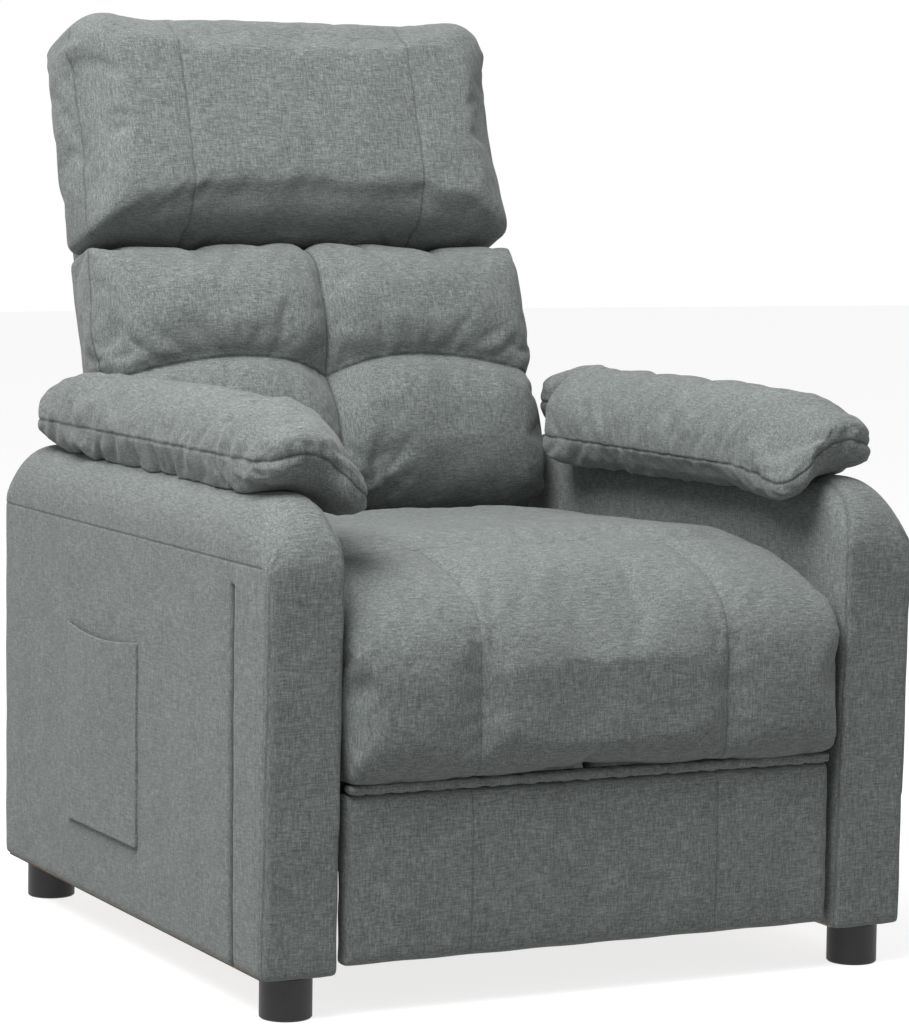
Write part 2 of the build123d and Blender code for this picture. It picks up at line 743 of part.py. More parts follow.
def lumbar_cushion():
    """The lumbar cushion, with a thinner tail that goes down behind the seat cushion."""
    face = cushion_face(LUMBAR_BOTTOM, LUMBAR_TOP, LUMBAR_LOW_ROUND, LUMBAR_HIGH_ROUND)
    cushion = across(face, -BACK_HALF, BACK_HALF)
    cushion += back_block(-BACK_HALF, BACK_HALF, LUMBAR_TAIL, LUMBAR_BOTTOM, LUMBAR_TUCK, CUSHION_DEPTH)
    return rounded_rear(cushion, (LUMBAR_TAIL + LUMBAR_TOP) / 2)


def cover_block(half, u0, u1, w0, w1, corner, top_corner):
    """A block for the outside back, rounded along its rear side edges and its rear top edge."""
    corners = [back_point(u0, w0), back_point(u1, w0), back_point(u1, w1), back_point(u0, w1)]
    side_view = rounded(make_face(Polyline(*corners, close=True)), corners[2], top_corner)
    block = back_block(-half, half, u0, u1, w0, w1)
    middle = back_point((u0 + u1) / 2, w1)
    edges = [block.edges().sort_by_distance(Vertex(x, *middle))[0] for x in (-half, half)]
    return across(side_view, -half, half) & fillet(edges, corner)


def back_cover():
    """The outside back: an upholstered tray around the back's timber, with a flat skirt below."""
    top = back_top() - BACK_COVER_TOP_DROP
    half = BACK_COVER_HALF
    tray = cover_block(
        half, BACK_BOTTOM, top, CUSHION_DEPTH + BACK_LAYER_GAP, BACK_THICKNESS,
        BACK_COVER_ROUND, BACK_COVER_TOP_ROUND
    )
    tray -= cover_block(
        half - COVER, BACK_BOTTOM - 1, top - COVER, 0, BACK_THICKNESS - COVER,
        BACK_COVER_ROUND - COVER, BACK_COVER_TOP_ROUND - COVER
    )
    room_top = SHOE_TOP + SHOE_CLEARANCE
    tray -= back_block(-half - 1, half + 1, BACK_BOTTOM - 1, room_top, 0, BACK_THICKNESS - COVER)
    skirt_half = half - BACK_SKIRT_INSET
    low = BACK_BOTTOM - BACK_SKIRT
    skirt = back_block(-skirt_half, skirt_half, low, BACK_BOTTOM, BACK_THICKNESS - COVER, BACK_THICKNESS)
    return tray + skirt


# Footrest


def footrest_z():
    """The footrest's lower and upper edge."""
    low = FOOT_HEIGHT + FOOTREST_BOTTOM
    return low, low + FOOTREST_HEIGHT


def footrest_half():
    """Half of the footrest's width."""
    return ARM_INNER - FOOTREST_SIDE_GAP


def footrest_board():
    """The plywood board of the footrest."""
    low, high = footrest_z()
    half = footrest_half() - FOOTREST_EDGE
    board = box(-half, half, FOOTREST_PAD, BOARD_REAR, low + FOOTREST_EDGE, high - FOOTREST_EDGE)
    for hole in bracket_screws():
        board -= hole
        board -= right_of(hole)
    return board


def footrest_pad():
    """The padded cover around the front and the edges of the board."""
    low, high = footrest_z()
    half = footrest_half()
    pad = box(-half, half, 0, BOARD_REAR, low, high)
    pad = fillet(pad.edges().group_by(Axis.Y)[0], FOOTREST_ROUND)
    half -= FOOTREST_EDGE
    return pad - box(-half, half, FOOTREST_PAD, BOARD_REAR + 1, low + FOOTREST_EDGE, high - FOOTREST_EDGE)


def footrest_top_roll():
    """The rolled strip along the footrest's upper edge."""
    high = footrest_z()[1]
    half = footrest_half() - TOP_ROLL_SIDE_GAP
    rear = TOP_ROLL_DEPTH - TOP_ROLL_AHEAD
    strip = box(-half, half, -TOP_ROLL_AHEAD, rear, high, high + TOP_ROLL_HEIGHT)
    return fillet(strip.edges().filter_by(Axis.X), 0.45 * TOP_ROLL_HEIGHT)


def bracket_screw_z():
    """The heights of the screws in a footrest bracket."""
    low, high = footrest_z()
    return low + 2 * BRACKET_MARGIN, high - 2 * BRACKET_MARGIN


def bracket_screws():
    """The screws that hold the left footrest bracket on the board."""
    x = layer(FOOTREST_LAYER)[1] - BRACKET_FLANGE / 2 - PLATE
    length = PLATE + BOARD - BOARD_SCREW_COVER
    made = []
    for z in bracket_screw_z():
        shaft = Pos(x, BOARD_REAR + PLATE - length / 2, z) * Rot(90, 0, 0) * Cylinder(SCREW_RADIUS, length)
        head = Pos(x, BOARD_REAR + PLATE + SCREW_HEAD / 2, z) * Rot(90, 0, 0)
        made.append(shaft + head * Cylinder(SCREW_HEAD_RADIUS, SCREW_HEAD))
    return made


def footrest_bracket():
    """The left steel bracket between the footrest board and the reach links."""
    low, high = footrest_z()
    x_in, x_out = layer(FOOTREST_LAYER)
    z0 = low + BRACKET_MARGIN
    z1 = high - BRACKET_MARGIN
    web = bar([UPPER_TIP, LOWER_TIP], LINK_HALF_WIDTH)
    web += make_face(Polyline((BOARD_REAR, z0), (BOARD_REAR, z1), (UPPER_TIP[0], z1), LOWER_TIP, close=True))
    holes = [(UPPER_TIP, RUNNING_HOLE), (LOWER_TIP, OPEN_HOLE)]
    bracket = across(punched(web, holes), x_in, x_out)
    bracket += box(x_out - BRACKET_FLANGE, x_out, BOARD_REAR, BOARD_REAR + PLATE, z0, z1)
    for screw in bracket_screws():
        bracket -= screw
    return bracket


def torque_bar():
    """The bar that ties the left and right front cranks together."""
    half = layer(CRANK_LAYER)[0]
    return rod(TORQUE_BAR, -half, half, TORQUE_BAR_RADIUS)


def front_crank():
    """The left front crank: pinned to the seat plate, it carries both reach links."""
    holes = [(FRONT_CRANK, RUNNING_HOLE), (FRONT_KNEE, PIN_RADIUS), (LOWER_KNEE, PIN_RADIUS)]
    face = bar([FRONT_CRANK, FRONT_KNEE, LOWER_KNEE], LINK_HALF_WIDTH)
    face += bar([FRONT_CRANK, TORQUE_BAR], TORQUE_BAR_EAR)
    return across(punched(face, holes), *layer(CRANK_LAYER))


def rear_crank():
    """The left rear crank, which keeps the upper reach link level."""
    return link([REAR_CRANK, REAR_KNEE], [(REAR_CRANK, RUNNING_HOLE), (REAR_KNEE, OPEN_HOLE)], CRANK_LAYER)


def upper_reach():
    """The left upper reach link, bent at the front crank."""
    holes = [(REAR_KNEE, PIN_RADIUS), (FRONT_KNEE, RUNNING_HOLE), (UPPER_TIP, PIN_RADIUS)]
    return link([REAR_KNEE, FRONT_KNEE, UPPER_TIP], holes, REACH_LAYER)


def lower_reach():
    """The left lower reach link, parallel to the upper one."""
    return link([LOWER_KNEE, LOWER_TIP], [(LOWER_KNEE, RUNNING_HOLE), (LOWER_TIP, PIN_RADIUS)], REACH_LAYER)


def swing_link(low, high, top_hole):
    """A left swing link between the base rail and the seat plate."""
    return link([low, high], [(low, RUNNING_HOLE), (high, top_hole)], SWING_LAYER)


def both_sides(name, part):
    """The left and right nodes of one piece."""
    return {name + "_left": part, name + "_right": right_of(part)}


def base_nodes():
    """The arms, feet, side rails and cross tubes."""
    shell = arm_shell()
    nodes = both_sides("arm_cover", shell - facing_block())
    nodes |= both_sides("arm_facing", shell & facing_block())
    nodes |= both_sides("arm_frame", arm_frame())
    nodes |= both_sides("arm_inner_panel", arm_panel(ARM_INNER + COVER, INNER_PANEL, rail_bolts()))
    nodes |= both_sides("arm_outer_panel", arm_panel(WIDTH / 2 - COVER - OUTER_PANEL, OUTER_PANEL, []))
    nodes |= both_sides("arm_pillow", arm_pillow())
    nodes["side_pocket"] = side_pocket()
    for place, y in zip(("front", "rear"), foot_y()):
        nodes[f"foot_{place}_left"] = Pos(foot_x(), y, 0) * foot()
        nodes[f"foot_{place}_right"] = Pos(-foot_x(), y, 0) * foot()
    nodes["foot_studs"] = Compound([Pos(x, y, 0) * stud() for x in (foot_x(), -foot_x()) for y in foot_y()])
    nodes |= both_sides("base_rail", base_rail())
    bolts = [shaft + head for shaft, head in zip(rail_bolts(), bolt_heads())]
    nodes["base_rail_bolts"] = pair(Compound(bolts))
    nodes["base_pins"] = pins([(place, RAIL_LAYER, SWING_LAYER) for place in (SWING_FRONT, SWING_REAR)])
    nodes["front_cross_tube"] = cross_tube(FRONT_TUBE_Y)
    nodes["rear_cross_tube"] = cross_tube(REAR_TUBE_Y)
    return nodes


def seat_nodes():
    """The seat plates, timber, springs and cushion."""
    nodes = both_sides("seat_plate", seat_plate())
    swing_tops = [(SWING_FRONT_TOP, SEAT_LAYER, SWING_LAYER), (SWING_REAR_TOP, SEAT_LAYER, SWING_LAYER)]
    inward = [(point, SEAT_LAYER, CRANK_LAYER) for point in (FRONT_CRANK, REAR_CRANK, BACK_HINGE)]
    nodes["seat_pins"] = pins(swing_tops + inward)
    nodes["seat_screws"] = pair(Compound(seat_screws()))
    nodes |= both_sides("seat_side_rail", seat_side_rail())
    cross_rails = [seat_cross_rail(y) for y in (SEAT_RAIL_FRONT, SEAT_FRAME_REAR - SEAT_RAIL)]
    nodes["seat_cross_rails"] = Compound(cross_rails)
    nodes["seat_springs"] = seat_springs()
    nodes["seat_deck"] = seat_deck()
    nodes["seat_cushion"] = seat_cushion()
    return nodes


def back_nodes():
    """The back's timber, straps, hinge brackets, cushions and outside cover."""
    nodes = both_sides("back_post", back_post())
    nodes["back_bottom_rail"] = back_rail(post_span()[0])
    nodes["back_top_rail"] = back_rail(post_span()[1] - BACK_RAIL)
    nodes["back_webbing"] = back_webbing()
    nodes |= both_sides("back_bracket", back_bracket())
    nodes["back_bracket_screws"] = pair(Compound(back_bracket_screws()))
    nodes["headrest_cushion"] = headrest_cushion()
    nodes["lumbar_cushion"] = lumbar_cushion()
    nodes["back_cover"] = back_cover()
    return nodes


def mechanism_nodes():
    """The swing links, the footrest linkage and the footrest."""
    nodes = {}
    nodes["swing_front_links"] = pair(swing_link(SWING_FRONT, SWING_FRONT_TOP, RUNNING_HOLE))
    nodes["swing_rear_links"] = pair(swing_link(SWING_REAR, SWING_REAR_TOP, OPEN_HOLE))
    nodes["front_cranks"] = pair(front_crank())
    nodes["crank_pins"] = pins([(point, CRANK_LAYER, REACH_LAYER) for point in (FRONT_KNEE, LOWER_KNEE)])
    nodes["torque_bar"] = torque_bar()
    nodes["rear_cranks"] = pair(rear_crank())
    nodes["upper_reach_links"] = pair(upper_reach())
    reach_pins = [(REAR_KNEE, REACH_LAYER, CRANK_LAYER), (UPPER_TIP, REACH_LAYER, FOOTREST_LAYER)]
    nodes["upper_reach_pins"] = pins(reach_pins)
    nodes["lower_reach_links"] = pair(lower_reach())
    nodes["lower_reach_pins"] = pins([(LOWER_TIP, REACH_LAYER, FOOTREST_LAYER)])
    nodes["footrest_board"] = footrest_board()
    nodes["footrest_pad"] = footrest_pad()
    nodes["footrest_top_roll"] = footrest_top_roll()
    nodes["footrest_brackets"] = pair(footrest_bracket())
    nodes["footrest_screws"] = pair(Compound(bracket_screws()))
    return nodes


def main():
    """Writes every node to its own file, with the origin under the middle of the chair."""
    os.makedirs("parts", exist_ok=True)
    nodes = base_nodes() | seat_nodes() | back_nodes() | mechanism_nodes()
    for name, part in nodes.items():
        moved = Pos(0, -FRONT_TO_MIDDLE, 0) * part
        export_step(moved, f"parts/{name}.step")
    print(len(nodes), "nodes")


main()
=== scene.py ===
# %% [markdown]
# # A push-back recliner armchair
# The chair is an upholstered box on four feet. Its seat hangs on steel links between two arms, its
# back leans on a hinge behind the seat, and a footrest folds away under the seat's rolled front.
# The frame below holds every hard part at its real place. These cells dress it: each padded part
# is modelled as a filled cloth form, sewn along its seams, and every surface gets its own finish.

# %% Load the frame
import bmesh
import bpy
import json
import math
import numpy as np
from mathutils import Matrix, Vector


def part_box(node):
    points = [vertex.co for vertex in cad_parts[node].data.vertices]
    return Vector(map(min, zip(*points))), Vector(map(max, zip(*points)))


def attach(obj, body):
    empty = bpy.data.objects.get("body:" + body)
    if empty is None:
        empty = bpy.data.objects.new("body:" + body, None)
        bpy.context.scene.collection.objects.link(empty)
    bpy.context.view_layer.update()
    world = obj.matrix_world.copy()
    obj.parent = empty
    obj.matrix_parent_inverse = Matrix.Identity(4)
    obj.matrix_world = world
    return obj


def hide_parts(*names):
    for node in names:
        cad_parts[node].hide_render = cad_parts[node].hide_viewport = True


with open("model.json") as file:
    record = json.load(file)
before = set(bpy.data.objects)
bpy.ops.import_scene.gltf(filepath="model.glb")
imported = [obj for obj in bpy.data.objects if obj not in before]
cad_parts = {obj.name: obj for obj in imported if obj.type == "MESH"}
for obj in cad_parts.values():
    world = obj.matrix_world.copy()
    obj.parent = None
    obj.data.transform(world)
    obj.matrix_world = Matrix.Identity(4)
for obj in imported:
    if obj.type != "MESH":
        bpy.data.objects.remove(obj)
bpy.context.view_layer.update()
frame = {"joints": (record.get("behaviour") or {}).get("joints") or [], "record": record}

# %% [markdown]
# ## Measures
# Blender works in metres. A chair is drawn in millimetres, so one small helper turns a maker's
# millimetres into metres. Places along the chair are counted backwards from the front of the
# footrest, which the frame gives.

# %% Measures
MM = 0.001
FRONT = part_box("footrest_pad")[0][1]
ARM_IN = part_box("arm_cover_left")[0][0]
ARM_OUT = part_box("arm_cover_left")[1][0]
ARM_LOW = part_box("arm_cover_left")[0][2]
ARM_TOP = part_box("arm_cover_left")[1][2]
ARM_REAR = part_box("arm_cover_left")[1][1]


def depth(mm):
    """Metres along Y for a distance in millimetres behind the footrest's front."""
    return FRONT + mm * MM


print("arm", round(ARM_IN, 4), "to", round(ARM_OUT, 4), "top", round(ARM_TOP, 4))

# %% [markdown]
# ## Tools for one piece
# Operators act on all that is selected, so each step first selects only the piece it means. A
# modifier is added, set and applied in one call, so that a finished piece is a plain mesh.

# %% Select, add a block, apply a modifier
def only(piece):
    """Selects one piece and makes it active."""
    if bpy.context.object and bpy.context.object.mode != "OBJECT":
        bpy.ops.object.mode_set(mode="OBJECT")
    bpy.ops.object.select_all(action="DESELECT")
    piece.select_set(True)
    bpy.context.view_layer.objects.active = piece


def block(name, low, high):
    """A box between two corners, with its place in its mesh."""
    bpy.ops.object.select_all(action="DESELECT")
    bpy.ops.mesh.primitive_cube_add(size=1)
    piece = bpy.context.object
    piece.name = name
    low, high = Vector(low), Vector(high)
    piece.location = (low + high) / 2
    piece.scale = high - low
    bpy.ops.object.transform_apply(location=True, rotation=True, scale=True)
    return piece


def modify(piece, kind, **settings):
    """Adds a modifier, sets it and applies it."""
    only(piece)
    modifier = piece.modifiers.new(kind.title(), kind)
    for name, value in settings.items():
        setattr(modifier, name, value)
    bpy.ops.object.modifier_apply(modifier=modifier.name)


def round_edges(piece, chosen, radius, segments=8):
    """Bevels the edges whose middle and direction pass a test."""
    only(piece)
    bpy.ops.object.mode_set(mode="EDIT")
    bpy.ops.mesh.select_mode(type="EDGE")
    bpy.ops.mesh.select_all(action="DESELECT")
    mesh = bmesh.from_edit_mesh(piece.data)
    for edge in mesh.edges:
        start, end = (vertex.co for vertex in edge.verts)
        edge.select_set(bool(chosen((start + end) / 2, (end - start).normalized())))
    bmesh.update_edit_mesh(piece.data)
    bpy.ops.mesh.bevel(offset=radius, segments=segments, affect="EDGES")
    bpy.ops.object.mode_set(mode="OBJECT")


def join(name, pieces):
    """Makes one piece of several."""
    only(pieces[0])
    for piece in pieces:
        piece.select_set(True)
    bpy.ops.object.join()
    pieces[0].name = name
    return pieces[0]


def mirrored(piece, name):
    """A copy of a left piece for the right side, with its faces turned the right way out."""
    twin = piece.copy()
    twin.data = piece.data.copy()
    twin.name = name
    bpy.context.collection.objects.link(twin)
    only(twin)
    twin.scale = (-1, 1, 1)
    bpy.ops.object.transform_apply(location=True, rotation=True, scale=True)
    bpy.ops.object.mode_set(mode="EDIT")
    bpy.ops.mesh.select_all(action="SELECT")
    bpy.ops.mesh.normals_make_consistent(inside=False)
    bpy.ops.object.mode_set(mode="OBJECT")
    return twin


print("tools ready")

# %% [markdown]
# ## Padded forms
# A cushion could be a subdivided box, but that looks like soap. Instead the rough form is remeshed
# into small even squares, like cloth, and Blender's cloth blows it up from inside while the sewn
# lines are held. A cap keeps it inside the space that the frame leaves. Then each seam is cut into
# the mesh, drawn in along its line, given painted shade in its groove through a layer that darkens
# the cloth's colour there, and puckered a little where the thread gathers the cloth.

# %% Cloth helpers
def cloth_points(piece):
    """The piece's points and normals as two arrays."""
    count = len(piece.data.vertices)
    points = np.empty(count * 3)
    normals = np.empty(count * 3)
    piece.data.vertices.foreach_get("co", points)
    piece.data.vertices.foreach_get("normal", normals)
    return points.reshape(-1, 3), normals.reshape(-1, 3)


def move_points(piece, points):
    """Puts new places into the piece's points."""
    piece.data.vertices.foreach_set("co", points.ravel())
    piece.data.update()


def smooth_step(value):
    """0 below 0, 1 above 1, and a smooth turn between."""
    value = np.clip(value, 0, 1)
    return value * value * (3 - 2 * value)


def unevenness(along, pitch):
    """A steady uneven wave from 0 to 1 along a seam, about one swing in each pitch."""
    turn = 2 * math.pi * along / pitch
    wave = np.sin(turn) + 0.7 * np.sin(0.61 * turn + 1.3) + 0.5 * np.sin(1.83 * turn + 4.1)
    return np.clip(0.5 + wave / 3.2, 0, 1)


def fill(piece, held, pressure=4.0, cap=0.014, slack=-0.02):
    """Blows the piece up as cloth, except the points that are held, and caps how far it swells."""
    before, normals = cloth_points(piece)
    group = piece.vertex_groups.new(name="held")
    group.add([int(index) for index in np.flatnonzero(held(before))], 1.0, "REPLACE")
    only(piece)
    cloth = piece.modifiers.new("Fill", "CLOTH")
    settings = cloth.settings
    settings.quality = 4
    settings.mass = 0.3
    settings.use_pressure = True
    settings.uniform_pressure_force = pressure
    settings.vertex_group_mass = "held"
    settings.shrink_min = slack
    settings.effector_weights.gravity = 0
    cloth.point_cache.frame_start = 1
    cloth.point_cache.frame_end = 20
    for number in range(1, 21):
        bpy.context.scene.frame_set(number)
    bpy.ops.object.modifier_apply(modifier=cloth.name)
    bpy.context.scene.frame_set(1)
    after, normals = cloth_points(piece)
    step = after - before
    length = np.linalg.norm(step, axis=1, keepdims=True)
    move_points(piece, before + step * np.minimum(1, cap / np.maximum(length, 1e-9)))
    print(piece.name, "swelled by up to", round(float(length.max()) / MM, 1), "mm")


def layer_of(piece, name, kind):
    """The piece's own layer of that name, made on first use."""
    return piece.data.attributes.get(name) or piece.data.attributes.new(name, kind, "POINT")


def cut_seam(piece, gap, where, beside=(-3.5, -1.2, 0, 1.2, 3.5)):
    """Cuts edge loops along a seam, straight or curved: the points are laid out flat by their
    distance from the seam, cut by planes, and put back where they were."""
    points, normals = cloth_points(piece)
    layer_of(piece, "home", "FLOAT_VECTOR").data.foreach_set("vector", points.ravel())
    move_points(piece, np.stack([gap(points), where(points), np.zeros(len(points))], axis=1))
    for offset in beside:
        only(piece)
        centres = np.empty(len(piece.data.polygons) * 3)
        piece.data.polygons.foreach_get("center", centres)
        centres = centres.reshape(-1, 3)
        near = (np.abs(centres[:, 0]) < 9 * MM) & (centres[:, 1] > 0.02)
        bpy.ops.object.mode_set(mode="EDIT")
        bpy.ops.mesh.select_mode(type="FACE")
        bpy.ops.mesh.select_all(action="DESELECT")
        bpy.ops.object.mode_set(mode="OBJECT")
        piece.data.polygons.foreach_set("select", near)
        if not near.any():
            continue
        bpy.ops.object.mode_set(mode="EDIT")
        bpy.ops.mesh.bisect(plane_co=(offset * MM, 0, 0), plane_no=(1, 0, 0), use_fill=False)
        bpy.ops.object.mode_set(mode="OBJECT")
    home = np.empty(len(piece.data.vertices) * 3)
    piece.data.attributes["home"].data.foreach_get("vector", home)
    piece.data.attributes.remove(piece.data.attributes["home"])
    move_points(piece, home.reshape(-1, 3))


def valley(piece, gap, where, sink=6 * MM, width=6 * MM, swell=0.0, reach=25 * MM):
    """Draws the cloth in softly along a seam, and lets it swell a little beside it."""
    points, normals = cloth_points(piece)
    distance = np.abs(gap(points))
    groove = sink / (1 + (distance / width) ** 2)
    crown = swell * np.exp(-(((distance - reach) / reach) ** 2))
    move_points(piece, points + normals * ((crown - groove) * where(points))[:, None])


def sew(piece, gap, where, sink=1.6 * MM, width=1.5 * MM, shade=1.0):
    """A crisp seam: loops cut along it, the middle one drawn in, and painted shade laid in its groove."""
    cut_seam(piece, gap, where)
    points, normals = cloth_points(piece)
    near = np.exp(-((gap(points) / width) ** 2)) * where(points)
    move_points(piece, points - normals * (sink * near)[:, None])
    # Painted shade: how strongly the cloth's colour is darkened towards near black along this seam's
    # groove.
    painted_shade_layer = layer_of(piece, "painted_crease_shade", "FLOAT")
    before = np.empty(len(points))
    painted_shade_layer.data.foreach_get("value", before)
    painted_shade_layer.data.foreach_set("value", np.maximum(before, shade * near))


def pucker(piece, gap, along, where, lift=1.5 * MM, reach=14 * MM, pitch=12 * MM):
    """Small folds that run off a seam."""
    points, normals = cloth_points(piece)
    near = np.exp(-np.abs(gap(points)) / reach) * where(points)
    folds = lift * near * (unevenness(along(points), pitch) - 0.5)
    move_points(piece, points + normals * folds[:, None])


def undulate(piece, lift=1.0 * MM, pitch=90 * MM):
    """Slow, faint hollows all over, as any stuffed cloth has."""
    points, normals = cloth_points(piece)
    x, y, z = (points / pitch * 2 * math.pi).T
    wave = np.sin(x + 1.7 * np.sin(0.7 * z)) * np.sin(0.9 * z + 1.3 * np.sin(0.8 * y))
    wave = wave + 0.6 * np.sin(1.7 * y + x)
    move_points(piece, points + normals * (lift * 0.6 * wave)[:, None])


def soften(piece, levels=1):
    """Finishes a cloth piece: finer, and smooth shaded."""
    modify(piece, "SUBSURF", levels=levels, render_levels=levels)
    only(piece)
    bpy.ops.object.shade_smooth()


def everywhere(points):
    """Every point counts fully."""
    return np.ones(len(points))


print("cloth helpers ready")

# %% [markdown]
# ## Colours and nodes
# Colours are written as the sRGB hex values a designer would name, and turned to the linear values
# that Blender's shaders use. One helper adds a node with its settings and its links.

# %% Node helpers
def linear(code):
    """A linear colour from an sRGB hex code."""
    parts = [int(code[at:at + 2], 16) / 255 for at in (1, 3, 5)]
    return tuple(p / 12.92 if p <= 0.04045 else ((p + 0.055) / 1.055) ** 2.4 for p in parts) + (1.0,)


def add(tree, kind, settings=None, **links):
    """Adds a node, sets its properties, and fills its inputs with values or other nodes' outputs."""
    node = tree.nodes.new(kind)
    for name, value in (settings or {}).items():
        setattr(node, name, value)
    for name, value in links.items():
        key = int(name[1:]) if name[0] == "i" and name[1:].isdigit() else name.replace("_", " ")
        if isinstance(value, bpy.types.NodeSocket):
            tree.links.new(value, node.inputs[key])
        else:
            node.inputs[key].default_value = value
    return node


def start(name):
    """A new material with its tree, its shader and its object coordinates."""
    material = bpy.data.materials.new(name)
    material.use_nodes = True
    tree = material.node_tree
    shader = tree.nodes["Principled BSDF"]
    place = add(tree, "ShaderNodeTexCoord")
    return material, tree, shader, place


print("node helpers ready")

# %% [markdown]
# ## Upholstery cloth
# The cover is a plain weave of polyester yarn spun like linen: grey, a touch green, with slubs of
# lighter and darker fibre that run both ways. Printing a picture of it would need an unwrap, so the
# slubs are three noises, each stretched along one axis of the piece. A face shows the two that run
# along it. A fine basket of threads and the slubs together make the bump. On the leaning back the
# pattern is turned with the cloth. Threads about 1 mm apart are drawn 1.5 mm apart, to show at all.

# %% Upholstery cloth
THREAD = 1.5 * MM
SLUB = 11.0 * MM


def woven_polyester(name, lean=0.0):
    """Melange woven polyester; lean turns the weave about X, in radians."""
    material, tree, shader, place = start(name)
    turned = add(tree, "ShaderNodeMapping", Vector=place.outputs["Object"], Rotation=(lean, 0, 0))
    facing = add(tree, "ShaderNodeMapping", {"vector_type": "VECTOR"}, Vector=place.outputs["Normal"],
                 Rotation=(lean, 0, 0))
    square = add(tree, "ShaderNodeVectorMath", {"operation": "MULTIPLY"}, i0=facing.outputs[0],
                 i1=facing.outputs[0])
    sides = add(tree, "ShaderNodeSeparateXYZ", Vector=square.outputs[0])
    fine, long = 1 / THREAD, 1 / SLUB
    total = None
    for axis in range(3):
        scale = [fine, fine, fine]
        scale[axis] = long
        stretched = add(tree, "ShaderNodeMapping", Vector=turned.outputs[0], Scale=scale,
                        Location=(3.1 * axis, 7.7 * axis, 1.9 * axis))
        noise = add(tree, "ShaderNodeTexNoise", Vector=stretched.outputs[0], Scale=1.0, Detail=3.0,
                    Roughness=0.72)
        away = add(tree, "ShaderNodeMath", {"operation": "SUBTRACT"}, i0=1.0, i1=sides.outputs[axis])
        share = add(tree, "ShaderNodeMath", {"operation": "MULTIPLY"}, i0=away.outputs[0],
                    i1=noise.outputs[0])
        total = share.outputs[0] if total is None else add(
            tree, "ShaderNodeMath", {"operation": "ADD"}, i0=total, i1=share.outputs[0]).outputs[0]
    slubs = add(tree, "ShaderNodeMath", {"operation": "MULTIPLY"}, i0=total, i1=0.5)
    patches = add(tree, "ShaderNodeTexNoise", Vector=turned.outputs[0], Scale=1 / (60 * MM), Detail=3.0)
    grain = add(tree, "ShaderNodeTexNoise", Vector=turned.outputs[0], Scale=1 / (1.4 * MM), Detail=1.0)
    mixed = add(tree, "ShaderNodeMath", {"operation": "MULTIPLY_ADD"}, i0=patches.outputs[0], i1=0.06,
                i2=slubs.outputs[0])
    tone = add(tree, "ShaderNodeMath", {"operation": "MULTIPLY_ADD"}, i0=grain.outputs[0], i1=0.22,
               i2=mixed.outputs[0])
    ramp = add(tree, "ShaderNodeValToRGB", Fac=tone.outputs[0])
    stops = ramp.color_ramp.elements
    stops[0].position, stops[0].color = 0.50, linear(CLOTH_DARK)
    stops[1].position, stops[1].color = 0.78, linear(CLOTH_LIGHT)
    middle = stops.new(0.64)
    middle.color = linear(CLOTH_MIDDLE)
    # Painted shade in the seams: the per-point layer from sew mixes up to three quarters of a near-black
    # colour into the cloth where its grooves lie.
    painted_crease_shade = add(tree, "ShaderNodeAttribute", {"attribute_name": "painted_crease_shade"})
    painted_shade_share = add(tree, "ShaderNodeMath", {"operation": "MULTIPLY"}, i0=painted_crease_shade.outputs["Fac"], i1=0.75)
    shaded = add(tree, "ShaderNodeMix", {"data_type": "RGBA"})
    tree.links.new(painted_shade_share.outputs[0], shaded.inputs[0])
    tree.links.new(ramp.outputs[0], shaded.inputs[6])
    shaded.inputs[7].default_value = linear(CLOTH_PAINTED_SHADE)
    tree.links.new(shaded.outputs[2], shader.inputs["Base Color"])
    bump = add(tree, "ShaderNodeBump", Height=tone.outputs[0], Strength=0.35, Distance=0.6 * MM)
    tree.links.new(bump.outputs[0], shader.inputs["Normal"])
    shader.inputs["Roughness"].default_value = 0.92
    shader.inputs["Sheen Weight"].default_value = 0.15
    shader.inputs["Sheen Roughness"].default_value = 0.5
    shader.inputs["Specular IOR Level"].default_value = 0.25
    return material


# Near black, used only as painted shade in the seams' grooves.
CLOTH_PAINTED_SHADE = "#1E2120"
CLOTH_DARK = "#595E5C"
CLOTH_MIDDLE = "#767B79"
CLOTH_LIGHT = "#949A98"
BACK_LEAN = math.radians(19)
cloth = woven_polyester("melange_woven_polyester")
cloth_on_back = woven_polyester("melange_woven_polyester_on_back", BACK_LEAN)
print("cloth ready")

# %% [markdown]
# ## Arms
# Each arm is a timber box under thin foam, so its cloth is nearly flat, with a soft crown on the
# outer face. Bevels round the block's top corners, widely in front and less behind, and moving
# points rounds off its two top edges. The seams are sewn on the whole form, which a plane behind
# the front face then cuts into the cover and its facing.

# %% Arm covers and facings
ARM_SEAM_DROP = 68 * MM
SLIT = 75
SLIT_HEIGHT = 383 * MM
FACING_CUT = 14
CROWN = 2.2 * MM
ARM_CORNER = 75 * MM
ARM_FRONT_LEAN = 12 * MM
SHOULDERS = ((ARM_OUT, 52 * MM, 1), (ARM_IN, 30 * MM, -1))


def arm_form(name):
    """The whole left arm as one rounded block."""
    piece = block(name, (ARM_IN + 1 * MM, depth(-3), ARM_LOW), (ARM_OUT - 1 * MM, ARM_REAR, ARM_TOP))
    points, normals = cloth_points(piece)
    high = points[:, 2] > (ARM_LOW + ARM_TOP) / 2
    points[high & (points[:, 1] < 0), 1] -= ARM_FRONT_LEAN
    move_points(piece, points)
    front, rear, top = depth(-15), ARM_REAR, ARM_TOP
    round_edges(piece, lambda m, d: abs(d.x) > 0.9 and m.z > top - 0.01 and m.y < front + 0.01,
                ARM_CORNER, 14)
    round_edges(piece, lambda m, d: abs(d.x) > 0.9 and m.z > top - 0.01 and m.y > rear - 0.01, 45 * MM, 10)
    return piece


